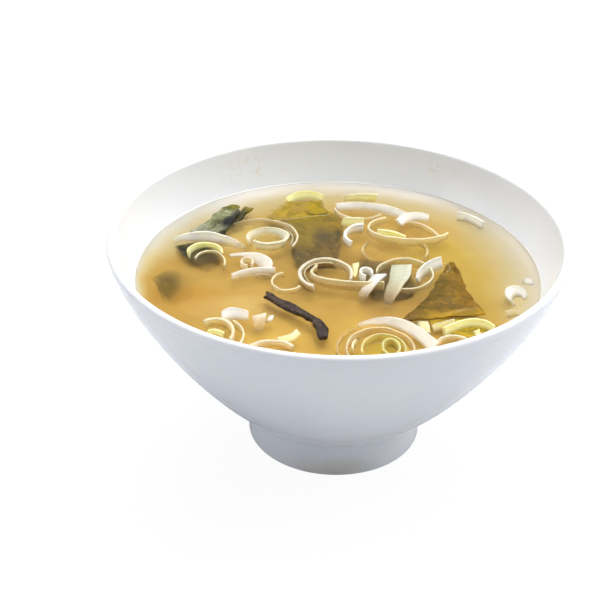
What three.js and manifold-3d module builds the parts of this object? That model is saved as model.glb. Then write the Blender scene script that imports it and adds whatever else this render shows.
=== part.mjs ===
// Miso soup in a white footed bowl, with wakame leaves and sliced leek afloat.
// Millimetres, +Z up. The origin is the centre of the foot, where the bowl stands.
// +X is to the right and +Y is away from the person who eats.
import * as THREE from 'three';
import { mergeVertices } from 'three/addons/utils/BufferGeometryUtils.js';
import Module from 'manifold-3d';

const wasm = await Module();
wasm.setup();

// Bowl
const RIM_RADIUS = 95;
const LIP_BASE_HEIGHT = 95;
const WALL = 3.3;
const FOOT_RADIUS = 37.4;
const FOOT_HEIGHT = 17.1;
const FOOT_RING_WIDTH = 5.4;
const FOOT_EDGE_ROUND = 1.4;
const RECESS_DEPTH = 11.5;
const RECESS_CORNER = 2;
const FLOOR_HEIGHT = 19.5;
const WALL_ROOT_RADIUS = 37;
const WALL_BELLY = [49.8, 19.3];
const WALL_SHOULDER = [88.5, 68.8];
const ROUND_STEPS = 64;
const WALL_STEPS = 8;
const LIP_STEPS = 3;

// The outer wall leaves the foot almost flat and ends steep at the lip.
const OUTER_WALL = new THREE.CubicBezierCurve(
  new THREE.Vector2(WALL_ROOT_RADIUS, FOOT_HEIGHT),
  new THREE.Vector2(...WALL_BELLY),
  new THREE.Vector2(...WALL_SHOULDER),
  new THREE.Vector2(RIM_RADIUS, LIP_BASE_HEIGHT),
);

// Soup and what floats in it
const LEVEL = 78.5;
const GAP = 0.3;
const POCKET_TOP = 6;
const SMALLEST_DETAIL = 0.05;
const STEP_ANGLE = 22;
const STEP_LENGTH = 5;

const WELD_DISTANCE = 1e-4;
const CURVE_PROBE = 1e-3;
const WATERLINE_STEP = 1e-6;
const GLAZE_ROUGHNESS = 0.2;
const TOPPING_ROUGHNESS = 0.4;
const BROTH_ROUGHNESS = 0.1;

const COLOURS = {
  porcelain: 0xe9ebee,
  broth: 0xc9a566,
  white: 0xf0efe4,
  cream: 0xe6dcb4,
  yellow: 0xe8dc92,
  green: 0xcfd0a0,
  pink: 0xe2cfae,
  wakame: 0x66602e,
  wakame_dark: 0x4d4d3c,
  wakame_pale: 0xa08b46,
  kelp: 0x3a2a24,
};

const radians = THREE.MathUtils.degToRad;
const group = new THREE.Group();

// ---------------------------------------------------------------- solids

// Joins corners that meet and drops the empty triangles at the poles of a lathe.
function weld(geometry) {
  geometry.deleteAttribute('normal');
  geometry.deleteAttribute('uv');
  const merged = mergeVertices(geometry, WELD_DISTANCE);
  const kept = [];
  const index = merged.index.array;
  for (let i = 0; i < index.length; i += 3) {
    const [a, b, c] = [index[i], index[i + 1], index[i + 2]];
    if (a !== b && b !== c && c !== a) kept.push(a, b, c);
  }
  merged.setIndex(kept);
  return merged;
}

function toManifold(geometry) {
  return new wasm.Manifold(new wasm.Mesh({
    numProp: 3,
    vertProperties: new Float32Array(geometry.getAttribute('position').array),
    triVerts: new Uint32Array(geometry.index.array),
  }));
}

function toGeometry(manifold) {
  const mesh = manifold.getMesh();
  const geometry = new THREE.BufferGeometry();
  geometry.setAttribute('position', new THREE.BufferAttribute(mesh.vertProperties, 3));
  geometry.setIndex(new THREE.BufferAttribute(mesh.triVerts, 1));
  return geometry;
}

// A closed sheet of nu by nv cells. place(u, v, side) gives each corner of its
// faces, side 1 and side -1, and both faces are split into triangles alike.
function slab(nu, nv, place) {
  const corners = [];
  for (const side of [1, -1]) {
    for (let i = 0; i <= nu; i += 1) {
      for (let j = 0; j <= nv; j += 1) corners.push(...place(i / nu, j / nv, side).toArray());
    }
  }
  const face = (nu + 1) * (nv + 1);
  const at = (i, j, back) => i * (nv + 1) + j + (back ? face : 0);
  const index = [];
  for (let i = 0; i < nu; i += 1) {
    for (let j = 0; j < nv; j += 1) {
      index.push(at(i, j), at(i + 1, j), at(i + 1, j + 1), at(i, j), at(i + 1, j + 1), at(i, j + 1));
      index.push(at(i + 1, j + 1, 1), at(i + 1, j, 1), at(i, j, 1));
      index.push(at(i, j + 1, 1), at(i + 1, j + 1, 1), at(i, j, 1));
    }
  }
  const edge = [];
  for (let i = 0; i < nu; i += 1) edge.push([i, 0]);
  for (let j = 0; j < nv; j += 1) edge.push([nu, j]);
  for (let i = nu; i > 0; i -= 1) edge.push([i, nv]);
  for (let j = nv; j > 0; j -= 1) edge.push([0, j]);
  edge.forEach(([i, j], k) => {
    const [m, n] = edge[(k + 1) % edge.length];
    index.push(at(i, j), at(i, j, 1), at(m, n), at(m, n), at(i, j, 1), at(m, n, 1));
  });
  const geometry = new THREE.BufferGeometry();
  geometry.setAttribute('position', new THREE.BufferAttribute(new Float32Array(corners), 3));
  geometry.setIndex(index);
  const solid = toManifold(geometry);
  if (solid.volume() > 0) return solid;
  const flipped = geometry.clone();
  flipped.setIndex(index.slice().reverse());
  return toManifold(flipped);
}

function addNode(name, colour, geometry, roughness) {
  const material = new THREE.MeshStandardMaterial({
    color: COLOURS[colour],
    roughness,
    metalness: 0,
  });
  const mesh = new THREE.Mesh(geometry, material);
  mesh.name = name;
  group.add(mesh);
}

// A value that runs evenly through a short list as u goes from 0 to 1.
function along(values, u) {
  if (!Array.isArray(values)) return values;
  const place = Math.min(Math.max(u, 0), 1) * (values.length - 1);
  const left = Math.min(Math.floor(place), values.length - 2);
  return THREE.MathUtils.lerp(values[left], values[left + 1], place - left);
}

// ---------------------------------------------------------------- bowl and broth

// A point of the inner wall, set off by the wall's thickness and an extra inset.
function innerWall(t, inset = 0) {
  const point = OUTER_WALL.getPoint(t);
  const tangent = OUTER_WALL.getTangent(t);
  const offset = WALL + inset;
  return new THREE.Vector2(point.x - tangent.y * offset, point.y + tangent.x * offset);
}

function lathe(profile) {
  const geometry = new THREE.LatheGeometry(profile, ROUND_STEPS);
  geometry.rotateX(Math.PI / 2);
  return weld(geometry);
}

function bowl() {
  const recess = FOOT_RADIUS - FOOT_RING_WIDTH;
  const profile = [
    new THREE.Vector2(0, RECESS_DEPTH),
    new THREE.Vector2(recess - RECESS_CORNER, RECESS_DEPTH),
    new THREE.Vector2(recess, RECESS_DEPTH - RECESS_CORNER),
    new THREE.Vector2(recess, 0),
    new THREE.Vector2(FOOT_RADIUS - FOOT_EDGE_ROUND, 0),
    new THREE.Vector2(FOOT_RADIUS, FOOT_EDGE_ROUND),
  ];
  for (let i = 0; i <= WALL_STEPS; i += 1) profile.push(OUTER_WALL.getPoint(i / WALL_STEPS));
  const outer = OUTER_WALL.getPoint(1);
  const inner = innerWall(1);
  const middle = outer.clone().add(inner).multiplyScalar(0.5);
  for (let i = 1; i < LIP_STEPS; i += 1) {
    profile.push(outer.clone().rotateAround(middle, (Math.PI * i) / LIP_STEPS));
  }
  for (let i = WALL_STEPS; i >= 0; i -= 1) profile.push(innerWall(i / WALL_STEPS));
  profile.push(new THREE.Vector2(0, FLOOR_HEIGHT));
  return toManifold(lathe(profile));
}

// Finds how far along the wall the surface of the broth lies.
function waterline() {
  let low = 0;
  let high = 1;
  while (high - low > WATERLINE_STEP) {
    const middle = (low + high) / 2;
    if (innerWall(middle, GAP).y < LEVEL) low = middle;
    else high = middle;
  }
  return low;
}

function broth() {
  const profile = [new THREE.Vector2(0, FLOOR_HEIGHT + GAP)];
  const top = waterline();
  for (let i = 0; i / WALL_STEPS < top; i += 1) profile.push(innerWall(i / WALL_STEPS, GAP));
  profile.push(innerWall(top, GAP));
  profile.push(new THREE.Vector2(0, LEVEL));
  return toManifold(lathe(profile));
}

// ---------------------------------------------------------------- leek

// Part of an ellipse on the surface, from one angle to another.
function arc([x, y], [rx, ry], from, to) {
  const point = (u) => {
    const angle = radians(THREE.MathUtils.lerp(from, to, u));
    return new THREE.Vector2(x + rx * Math.cos(angle), y + ry * Math.sin(angle));
  };
  const steps = Math.ceil(Math.abs(to - from) / STEP_ANGLE);
  return { point, steps: Math.max(steps, 3) };
}

// A smooth line on the surface through a few places.
function through(...places) {
  const curve = new THREE.SplineCurve(places.map(([x, y]) => new THREE.Vector2(x, y)));
  const steps = Math.ceil(curve.getLength() / STEP_LENGTH);
  return { point: (u) => curve.getPoint(u), steps: Math.max(steps, 2) };
}

// A strip of leek wall. Its path is the middle of the band, rise is that middle's
// height over the broth, and lean tips the band from standing (0) to flat (90).
function strip({ path, rise, width, thick, lean = 0 }, grow = 0) {
  return slab(path.steps, 1, (u, v, side) => {
    const here = path.point(u);
    const [before, after] = [Math.max(u - CURVE_PROBE, 0), Math.min(u + CURVE_PROBE, 1)];
    const ahead = path.point(after).sub(path.point(before)).normalize();
    const run = new THREE.Vector3(ahead.x, ahead.y, 0);
    const across = new THREE.Vector3(-ahead.y, ahead.x, 0);
    const tip = radians(along(lean, u));
    const up = new THREE.Vector3(0, 0, Math.cos(tip)).addScaledVector(across, Math.sin(tip));
    const out = new THREE.Vector3().crossVectors(up, run);
    const end = u === 0 ? -grow : u === 1 ? grow : 0;
    return new THREE.Vector3(here.x, here.y, LEVEL + along(rise, u))
      .addScaledVector(up, (v - 0.5) * (along(width, u) + 2 * grow))
      .addScaledVector(out, side * (along(thick, u) / 2 + grow))
      .addScaledVector(run, end);
  });
}

// Every piece of leek, those that lie on top before those that they lie on.
const LEEK = {
  // left, beside the folded wakame leaf
  leek_long_white: {
    colour: 'white', path: arc([-59, -1], [28, 28], 115, 46), rise: [1.2, 1.6, 0.2],
    width: [3.6, 3.6, 2.6], thick: 1.3, lean: -12,
  },
  leek_yellow_arc: {
    colour: 'yellow', path: arc([-56, 13], [7, 7.3], 190, 0), rise: 0.7,
    width: [3, 3, 1.4], thick: 1.3, lean: -10,
  },
  leek_thin_ring_left: {
    colour: 'cream', path: arc([-54, 6.3], [6.6, 9.8], 160, -15), rise: -0.7,
    width: 2.4, thick: 0.9,
  },
  leek_green_curl: {
    colour: 'green', path: arc([-30, 27], [8.3, 7.8], 200, -128), rise: 0.5,
    width: [2, 3, 3.6], thick: [1, 1.4, 1.6], lean: 8,
  },
  leek_outer_ring: {
    colour: 'pink', path: arc([-34, 28], [16.8, 16], 132, -28), rise: -0.2,
    width: [2.6, 3.2, 2.6], thick: 0.9,
  },
  leek_small_ring_left: {
    colour: 'pink', path: arc([-38, 4.6], [2.4, 3.1], 280, -40), rise: 0.6,
    width: 2.4, thick: 1,
  },
  leek_membrane: {
    colour: 'cream', path: arc([-41, 1.5], [11.8, 11.6], 112, -4), rise: 0.1,
    width: [4, 5.4, 4], thick: 0.8, lean: 64,
  },
  leek_pink_strip: {
    colour: 'pink', path: arc([-27, -28], [28, 28], 127, 88), rise: 0.4,
    width: [1.6, 2.4, 2], thick: 1.1, lean: -20,
  },
  leek_open_ring: {
    colour: 'cream', path: arc([-21, -8.8], [6.2, 7.6], 105, 332), rise: -0.5,
    width: [1.4, 2, 2], thick: 1,
  },

  // middle, round the large spiral
  leek_white_strip_middle: {
    colour: 'white', path: through([17.6, -5.2], [14.4, -11.2], [11.4, -17.2], [10.2, -21], [10.8, -23.4]),
    rise: [1.5, 1.5, 0.6, -0.6, -1.8], width: [6.4, 5, 4.4, 3.8, 3], thick: 1.3, lean: 66,
  },
  leek_pale_leaf_strip: {
    colour: 'green',
    path: through([27, 3.6], [25.6, -6], [23.4, -13], [21.6, -18.6], [20, -24.4], [19, -28.6]),
    rise: [1.1, 1.2, 0.9, 0.1, -1, -2.2], width: [8, 7.6, 6, 5.4, 4.4, 3], thick: 1.1, lean: 84,
  },
  leek_white_strip_right: {
    colour: 'white', path: through([44, 7.4], [39.4, 3.4], [35.8, -0.5], [33.8, -3.4], [33, -6.6]),
    rise: [1.1, 1.4, 1.3, 0.8, -0.2], width: [3.8, 4, 3.4, 2.8, 2.2], thick: 1.4, lean: -18,
  },
  leek_right_curl_end: {
    colour: 'cream', path: arc([43.4, 2.4], [3.6, 4.4], 46, -62), rise: 0.1,
    width: [2.2, 1.6], thick: 1,
  },
  leek_spiral_outer: {
    colour: 'white', path: arc([-5, -3.8], [10.7, 11.9], 242, -22), rise: 0.7,
    width: [2.2, 2.4, 2.8, 2], thick: [1.5, 1.7, 1.6, 1.1], lean: 6,
  },
  leek_spiral_front: {
    colour: 'yellow', rise: [0.2, 0.5, 0.5, 0.1],
    path: through([-8.6, 3], [-10.6, -1], [-10.6, -5.4], [-6, -9.6], [1, -11.6], [9, -12.2], [19, -11.2]),
    width: [2, 2.8, 3.4, 3], thick: 1.2, lean: -14,
  },
  leek_yellow_bit_middle: {
    colour: 'yellow', path: through([7.6, 5.2], [7.4, 0], [7.1, -6]), rise: 0.8,
    width: [3.2, 2.2, 1], thick: 1.1, lean: 80,
  },
  leek_small_curl_middle: {
    colour: 'white', path: arc([11.8, -3.9], [2.5, 3.5], 262, -30), rise: 1.1,
    width: 2.6, thick: 1.2,
  },
  leek_ring_right: {
    colour: 'green', path: arc([28, -2.8], [11.7, 11.3], 176, -100), rise: [0.4, 0.6, 0, -0.6],
    width: [2, 3.2, 2.2, 1.6], thick: 0.9,
  },

  // back, near the wall
  leek_yellow_band_back: {
    colour: 'yellow', path: arc([-13, 60], [9.4, 9.8], 160, 38), rise: 0.6,
    width: [2.6, 3.6, 3], thick: 1.3, lean: -8,
  },
  leek_olive_bit: {
    colour: 'yellow', path: through([-11.6, 53], [-8.4, 54.2], [-5.2, 52.8]), rise: 0,
    width: [2.6, 4.4, 3.4], thick: 0.9, lean: 34,
  },
  leek_white_band_back: {
    colour: 'white', path: arc([9, 30.4], [29.6, 29.4], 107, 42), rise: 0.6,
    width: [2.2, 2.8, 3], thick: 1.5, lean: -10,
  },
  leek_yellow_strip_back: {
    colour: 'yellow', path: through([4, 67], [11, 67.6], [19, 67]), rise: 0.4,
    width: [2.8, 3.6, 3.6], thick: 1.3, lean: -6,
  },
  leek_thin_arc_back: {
    colour: 'pink', path: arc([11, 59], [11.4, 12], 190, 322), rise: -0.3,
    width: 1.8, thick: 0.9,
  },
  leek_two_tone_bit: {
    colour: 'yellow', path: through([2.9, 44.2], [6.6, 43.2], [12.5, 43.9]), rise: 0.6,
    width: 3.6, thick: 1.4, lean: -8,
  },
  leek_white_curl_back: {
    colour: 'white', path: arc([10.4, 30], [6.8, 7.3], 78, 234), rise: [1.2, 0.5, 0.2],
    width: [4, 2.6, 2.2], thick: [1.5, 1.6, 1.7], lean: 10,
  },
  leek_yellow_blob_back: {
    colour: 'yellow', path: through([17.8, 33.2], [22, 32.6], [26, 31], [29.8, 28.4]), rise: 0.7,
    width: [3, 3.2, 2.4], thick: 1.8, lean: -16,
  },
  leek_white_strip_back: {
    colour: 'white', path: through([27.8, 43], [30, 46.6], [33.4, 49], [37.4, 49.6], [41.4, 48.4]),
    rise: 0.9, width: [3.2, 3.4, 2.6], thick: 1.8, lean: 24,
  },
  leek_loop_tail_back: {
    colour: 'pink', path: through([32.6, 43.6], [37.4, 42.4], [41.4, 37.6], [44.8, 31.4]), rise: -0.1,
    width: 1.8, thick: 0.9,
  },
  leek_large_loop_back: {
    colour: 'cream', path: arc([32, 38], [17.8, 12.1], 122, 340), rise: [-0.1, 0.1, 0.3, 0.2, 0],
    width: [1.8, 2, 3.2, 3, 2.2], thick: 1,
  },
  leek_cream_band_right: {
    colour: 'white', path: through([54.6, 50.8], [58.4, 49.4], [62, 45.8], [65, 41.6]), rise: 0.7,
    width: [2.8, 3, 2.4], thick: 1.6, lean: -10,
  },

  // right, near the wall
  leek_white_curl_right: {
    colour: 'white', path: arc([73.2, -22], [3.6, 6.8], 236, -22), rise: 0.6,
    width: [3.4, 4, 3.2, 1.6], thick: [1.4, 1.6, 1], lean: 36,
  },
  leek_white_bit_right: {
    colour: 'white', path: through([77.6, -3.4], [79.2, -7.4], [79.4, -11.6]), rise: 0.4,
    width: 2.6, thick: 1.3, lean: 18,
  },
  leek_cream_bit_right: {
    colour: 'cream', path: through([66.4, -34.6], [69.2, -32.6], [72, -33.2]), rise: 0.3,
    width: 2.6, thick: 1.3,
  },

  // right front
  leek_broad_yellow_arc: {
    colour: 'yellow', rise: 0.7, width: [3, 3.4, 3], thick: 1.6, lean: -14,
    path: through([40.6, -48.2], [44, -45.2], [48.4, -42.4], [53, -41.2], [57.4, -42.2], [60.4, -45.8]),
  },
  leek_yellow_strip_front: {
    colour: 'yellow', path: through([36.6, -44.2], [41, -42], [45.6, -39.6]), rise: 0.4,
    width: 2.4, thick: 1.2,
  },
  leek_yellow_square: {
    colour: 'yellow', path: through([32.6, -40.8], [32.7, -45], [32.8, -48.6]), rise: [0.5, 0.9, 0.6],
    width: [4.4, 4.6, 4.2], thick: 1.2, lean: 86,
  },
  leek_pink_arc_front: {
    colour: 'pink', path: arc([44, -57.2], [6.4, 6.2], 168, 22), rise: 0.1,
    width: 1.8, thick: 1,
  },
  leek_yellow_bit_front: {
    colour: 'yellow', path: through([53.4, -46.2], [53.7, -50]), rise: 0.3,
    width: 2.4, thick: 1, lean: 82,
  },
  leek_wide_white_arc: {
    colour: 'white', path: arc([15.2, -59], [18.6, 18.9], 102, -12), rise: 0.9,
    width: [3.4, 4.8, 4.8, 4.2], thick: [1.1, 1.4, 1.5], lean: -40,
  },
  leek_ring_front: {
    colour: 'pink', path: arc([15.4, -61.6], [13, 15], 212, -32), rise: 0.2,
    width: 2, thick: 1,
  },
  leek_green_ring_front: {
    colour: 'green', path: arc([16.6, -61.6], [8.4, 10.4], 196, -12), rise: 0,
    width: 2.6, thick: 0.8,
  },
  leek_inner_ring_front: {
    colour: 'cream', path: arc([19.6, -60], [3.2, 5.4], 250, -60), rise: 0.3,
    width: 2.2, thick: 0.9,
  },
  leek_small_strip_front: {
    colour: 'cream', path: through([4.8, -61.4], [5, -57.8], [6.2, -55]), rise: 0.3,
    width: 1.6, thick: 1,
  },

  // left front
  leek_white_block: {
    colour: 'white', path: through([-46, -37.4], [-41.6, -36.6], [-36, -38.8]), rise: 0.9,
    width: [3.4, 4.2, 3.6], thick: 2, lean: -10,
  },
  leek_sinking_strip: {
    colour: 'white', path: through([-32.2, -37.2], [-31.8, -42], [-32, -48]), rise: [0.9, 0, -2.6],
    width: [4.2, 3.6, 2.4], thick: 1.2, lean: 82,
  },
  leek_tiny_bit_front: {
    colour: 'white', path: through([-26.8, -37.2], [-27.4, -40.6]), rise: 0.3,
    width: 1.8, thick: 1.1, lean: 70,
  },
  leek_ring_front_left: {
    colour: 'cream', path: arc([-48.4, -51], [7.2, 9.8], 128, -34), rise: 0.4,
    width: 2.4, thick: 1.4,
  },
  leek_thin_ring_front_left: {
    colour: 'cream', path: arc([-47, -52], [9.9, 12.2], 56, -30), rise: 0,
    width: 2, thick: 0.9,
  },
  leek_yellow_bit_front_left: {
    colour: 'yellow', path: through([-51.4, -50.4], [-48, -50.2], [-45, -52.2]), rise: 0.4,
    width: 2.8, thick: 1.3,
  },
  leek_yellow_white_band: {
    colour: 'yellow', path: through([-16.2, -49], [-18.6, -53], [-23.2, -56]), rise: 0.6,
    width: 3.4, thick: 1.3, lean: -34,
  },
  leek_pink_band_front: {
    colour: 'pink', path: arc([-26, -64], [9, 7.2], 152, 30), rise: 0.4,
    width: 2.2, thick: 1.5,
  },
};

// ---------------------------------------------------------------- seaweed

// A thin wavy leaf between two edges, each a smooth line through a few places from
// the far end to the near one. rise is its height over the broth along the way.
function leaf({ left, right, rise, cells, wave, thick }, grow = 0, pocket = false) {
  const edges = [left, right].map((places) => new THREE.SplineCurve(
    places.map(([x, y]) => new THREE.Vector2(x, y)),
  ));
  return slab(cells[0], cells[1], (u, v, side) => {
    const a = edges[0].getPoint(u);
    const b = edges[1].getPoint(u);
    const spot = a.clone().lerp(b, v);
    const across = b.clone().sub(a).normalize();
    const run = new THREE.Vector2(across.y, -across.x);
    const endwise = u === 0 ? -grow : u === 1 ? grow : 0;
    const sideways = v === 0 ? -grow : v === 1 ? grow : 0;
    const ripple = wave.height * Math.sin(wave.along * u * Math.PI) * Math.cos(wave.across * v * Math.PI);
    const middle = LEVEL + along(rise, u) + ripple;
    spot.addScaledVector(across, sideways).addScaledVector(run, endwise);
    const height = pocket && side === 1 ? LEVEL + POCKET_TOP : middle + side * (thick / 2 + grow);
    return new THREE.Vector3(spot.x, spot.y, height);
  });
}

const SEAWEED = {
  wakame_folded_leaf: {
    colour: 'wakame_dark', cells: [8, 4], thick: 1.1,
    left: [[-46.8, 58], [-50.6, 53.6], [-55.6, 47], [-59, 40.6], [-63, 34.6], [-65.6, 30]],
    right: [[-43.6, 57.6], [-43, 52], [-44.2, 45.4], [-45.8, 39], [-47.4, 33.4], [-49.4, 29]],
    rise: [0.5, 0.9, 0.5, 0.1, -0.6], wave: { height: 0.6, along: 3, across: 2 },
  },
  wakame_frond: {
    colour: 'wakame_dark', cells: [5, 2], thick: 1.1,
    left: [[-40.4, 57], [-42.6, 52.6], [-43.2, 47.6]],
    right: [[-37.6, 55.6], [-39.6, 51.4], [-42, 46.2]],
    rise: [0.6, 0.7, 0.3], wave: { height: 0.2, along: 2, across: 1 },
  },
  kelp_strip: {
    colour: 'kelp', cells: [11, 2], thick: 1.8,
    left: [[-30.6, -24.4], [-27, -28.6], [-20.6, -34.4], [-14.6, -39.4], [-10.8, -44.6], [-9.4, -54.8]],
    right: [[-29.6, -19], [-25.4, -23.6], [-19, -29.4], [-13, -36.2], [-8, -42.4], [-4.8, -54.4]],
    rise: [0.2, 0.3, 0.3, 0.3, 0.2], wave: { height: 0.2, along: 4, across: 1 },
  },
  wakame_triangle: {
    colour: 'wakame', cells: [8, 5], thick: 1,
    left: [[47.4, 8], [44.6, 1.4], [40.4, -9], [35.4, -21], [29.6, -31.4], [24.4, -39.4]],
    right: [[49.4, 7.4], [51, -1], [52.4, -10], [54.2, -19.4], [56.4, -27], [58.8, -33.6]],
    rise: [0.4, 0.2, 0, -0.2, 0.1], wave: { height: 0.5, along: 3, across: 2 },
  },
  wakame_large_leaf: {
    colour: 'wakame_pale', cells: [9, 5], thick: 1,
    left: [[-22.6, 64], [-28.6, 55], [-31.6, 46], [-22, 38], [-18, 29], [-19.6, 18], [-17, 6]],
    right: [[-6, 66], [-4.4, 57], [2.6, 49], [3.6, 40], [2.4, 29], [1.6, 19], [0.6, 10]],
    rise: [-0.2, -0.3, -0.6, -1, -1.4, -1.8, -2], wave: { height: 0.4, along: 4, across: 2 },
  },
  wakame_dark_leaf: {
    colour: 'wakame_dark', cells: [5, 3], thick: 1,
    left: [[-70.4, 21], [-66, 13.6], [-60.6, 7.4], [-55, 2]],
    right: [[-62, 24.2], [-54.6, 22.4], [-50.4, 16.6], [-49, 9]],
    rise: [-0.4, -0.8, -1.6, -2.2], wave: { height: 0.4, along: 2, across: 2 },
  },
};

// ---------------------------------------------------------------- assembly

function overlaps(a, b) {
  return [0, 1, 2].every((k) => a.min[k] < b.max[k] && b.min[k] < a.max[k]);
}

// The largest of the bodies that a cut leaves.
function largest(solid) {
  return solid.decompose().reduce((best, body) => (body.volume() > best.volume() ? body : best));
}

// Toppings come in order from top to bottom. Each one is trimmed, with a small
// gap, where a piece above it presses into it.
const toppings = [
  ...['kelp_strip', 'wakame_frond', 'wakame_folded_leaf'].map(
    (name) => [name, SEAWEED[name], leaf],
  ),
  ...Object.entries(LEEK).map(([name, piece]) => [name, piece, strip]),
  ...['wakame_triangle', 'wakame_large_leaf', 'wakame_dark_leaf'].map(
    (name) => [name, SEAWEED[name], leaf],
  ),
];

addNode('bowl', 'porcelain', toGeometry(bowl()), GLAZE_ROUGHNESS);
const above = [];
let soup = broth();
for (const [name, piece, make] of toppings) {
  let solid = make(piece);
  const room = make(piece, GAP);
  const box = solid.boundingBox();
  for (const upper of above) {
    if (overlaps(box, upper.boundingBox())) solid = solid.subtract(upper);
  }
  soup = soup.subtract(make === leaf ? leaf(piece, GAP, true) : room);
  above.push(room);
  addNode(name, piece.colour, toGeometry(largest(solid)), TOPPING_ROUGHNESS);
}
soup = largest(soup.simplify(SMALLEST_DETAIL));
addNode('soup', 'broth', toGeometry(soup), BROTH_ROUGHNESS);

export default group;
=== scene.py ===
import math

import bpy
import numpy as np
from mathutils import Matrix, Vector, kdtree


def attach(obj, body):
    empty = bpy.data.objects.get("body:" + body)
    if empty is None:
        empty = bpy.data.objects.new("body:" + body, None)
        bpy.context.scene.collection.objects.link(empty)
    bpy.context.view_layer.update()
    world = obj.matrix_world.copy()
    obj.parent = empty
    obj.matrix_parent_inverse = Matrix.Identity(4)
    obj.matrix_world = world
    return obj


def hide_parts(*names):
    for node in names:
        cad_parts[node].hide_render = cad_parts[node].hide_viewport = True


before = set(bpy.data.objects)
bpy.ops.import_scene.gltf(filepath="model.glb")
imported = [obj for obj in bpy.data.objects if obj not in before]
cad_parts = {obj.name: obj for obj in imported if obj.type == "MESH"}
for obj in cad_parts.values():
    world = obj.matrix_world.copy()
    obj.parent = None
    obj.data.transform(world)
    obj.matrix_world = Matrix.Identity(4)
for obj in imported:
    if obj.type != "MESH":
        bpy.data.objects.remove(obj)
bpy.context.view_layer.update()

# ---- measures, in millimetres
MM = 0.001
LEVEL = 78.5
RIM_RADIUS, LIP_BASE, WALL = 95.0, 95.0, 3.3
FOOT_RADIUS, FOOT_HEIGHT, FOOT_RING, FOOT_EDGE = 37.4, 17.1, 5.4, 1.4
RECESS_DEPTH, RECESS_CORNER, FLOOR_HEIGHT = 11.5, 3, 19.5
WALL_CURVE = np.array([(37.0, FOOT_HEIGHT), (49.8, 19.3), (88.5, 68.8), (RIM_RADIUS, LIP_BASE)])
MURK_DEPTH = 3.7       # how far under the surface the broth can't be seen through
FADE = 4.2             # depth over which a sunk thing fades to the broth's colour
TOUCH = 0.04           # the broth stands this close to the glaze
BOWL_SEGMENTS, BODY_SEGMENTS, SURFACE_SEGMENTS = 256, 360, 420


def srgb(*rgb):
    """Linear colour from 0-255 display values."""
    c = np.array(rgb) / 255
    return tuple(np.where(c <= 0.04045, c / 12.92, ((c + 0.055) / 1.055) ** 2.4).tolist())


# ---- noise
NOISE_CELLS = 64


def lattice_noise(x, y, seed):
    """Smooth noise between -1 and 1 over a seeded lattice of unit cells."""
    table = np.random.RandomState(seed).uniform(-1, 1, (NOISE_CELLS, NOISE_CELLS))
    x, y = np.broadcast_arrays(np.asarray(x, float), np.asarray(y, float))
    ix, iy = np.floor(x).astype(int), np.floor(y).astype(int)
    fx, fy = smooth(0, 1, x - ix), smooth(0, 1, y - iy)
    a, b, c, d = (table[(ix + i) % NOISE_CELLS, (iy + j) % NOISE_CELLS] for j in (0, 1) for i in (0, 1))
    return (a * (1 - fx) + b * fx) * (1 - fy) + (c * (1 - fx) + d * fx) * fy


def smooth(low, high, value):
    t = np.clip((np.asarray(value, float) - low) / (high - low), 0, 1)
    return t * t * (3 - 2 * t)


def along(values, u):
    """A value that runs evenly through a short list as u goes from 0 to 1."""
    if not isinstance(values, (list, tuple)):
        return np.full_like(np.asarray(u, float), values)
    return np.interp(u, np.linspace(0, 1, len(values)), values)


def soft_along(values, u, step=0.06):
    """The same, with the corners rounded."""
    u = np.asarray(u, float)
    before, after = np.clip(u - step, 0, 1), np.clip(u + step, 0, 1)
    return (along(values, before) + 2 * along(values, u) + along(values, after)) / 4


def spot(x, y, place, reach, turn=0.0):
    """A soft round share: 1 at the place, fading to 0 past its reach."""
    a = math.radians(turn)
    dx, dy = x - place[0], y - place[1]
    p, q = dx * math.cos(a) + dy * math.sin(a), -dx * math.sin(a) + dy * math.cos(a)
    return np.exp(-((p / reach[0]) ** 2 + (q / reach[1]) ** 2))


def mottle(x, y, size, seed):
    coarse, fine = (lattice_noise(x / size * k, y / size * k, seed + i) for i, k in enumerate((1, 2.3)))
    return 0.5 + 0.5 * (0.65 * coarse + 0.35 * fine)


# ---- meshes
def new_object(name, verts, faces, smooth_faces=True, uv=None, tint=None, face_material=None):
    mesh = bpy.data.meshes.new(name)
    mesh.from_pydata((np.asarray(verts) * MM).tolist(), [], faces)
    if smooth_faces:
        mesh.polygons.foreach_set("use_smooth", [True] * len(mesh.polygons))
    if face_material is not None:
        mesh.polygons.foreach_set("material_index", face_material)
    if uv is not None:
        layer = mesh.uv_layers.new(name="run")
        corner = np.empty(len(mesh.loops), np.int32)
        mesh.loops.foreach_get("vertex_index", corner)
        layer.data.foreach_set("uv", np.asarray(uv, np.float32)[corner].ravel())
    if tint is not None:
        layer = mesh.color_attributes.new("tint", "FLOAT_COLOR", "POINT")
        rgba = np.ones((len(verts), 4), np.float32)
        rgba[:, :tint.shape[1]] = tint
        layer.data.foreach_set("color", rgba.ravel())
    mesh.update()
    obj = bpy.data.objects.new(name, mesh)
    bpy.context.scene.collection.objects.link(obj)
    return obj


def settle(obj, materials, node=None):
    """Gives a piece its materials and its place in the part."""
    for material in materials:
        obj.data.materials.append(material)
    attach(obj, "root")
    if node:
        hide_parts(node)


def ring(radius, height, segments):
    angle = np.arange(segments) / segments * 2 * math.pi
    x, y, z = np.broadcast_arrays(radius * np.cos(angle), radius * np.sin(angle), height)
    return np.stack([x, y, z], -1)


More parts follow.
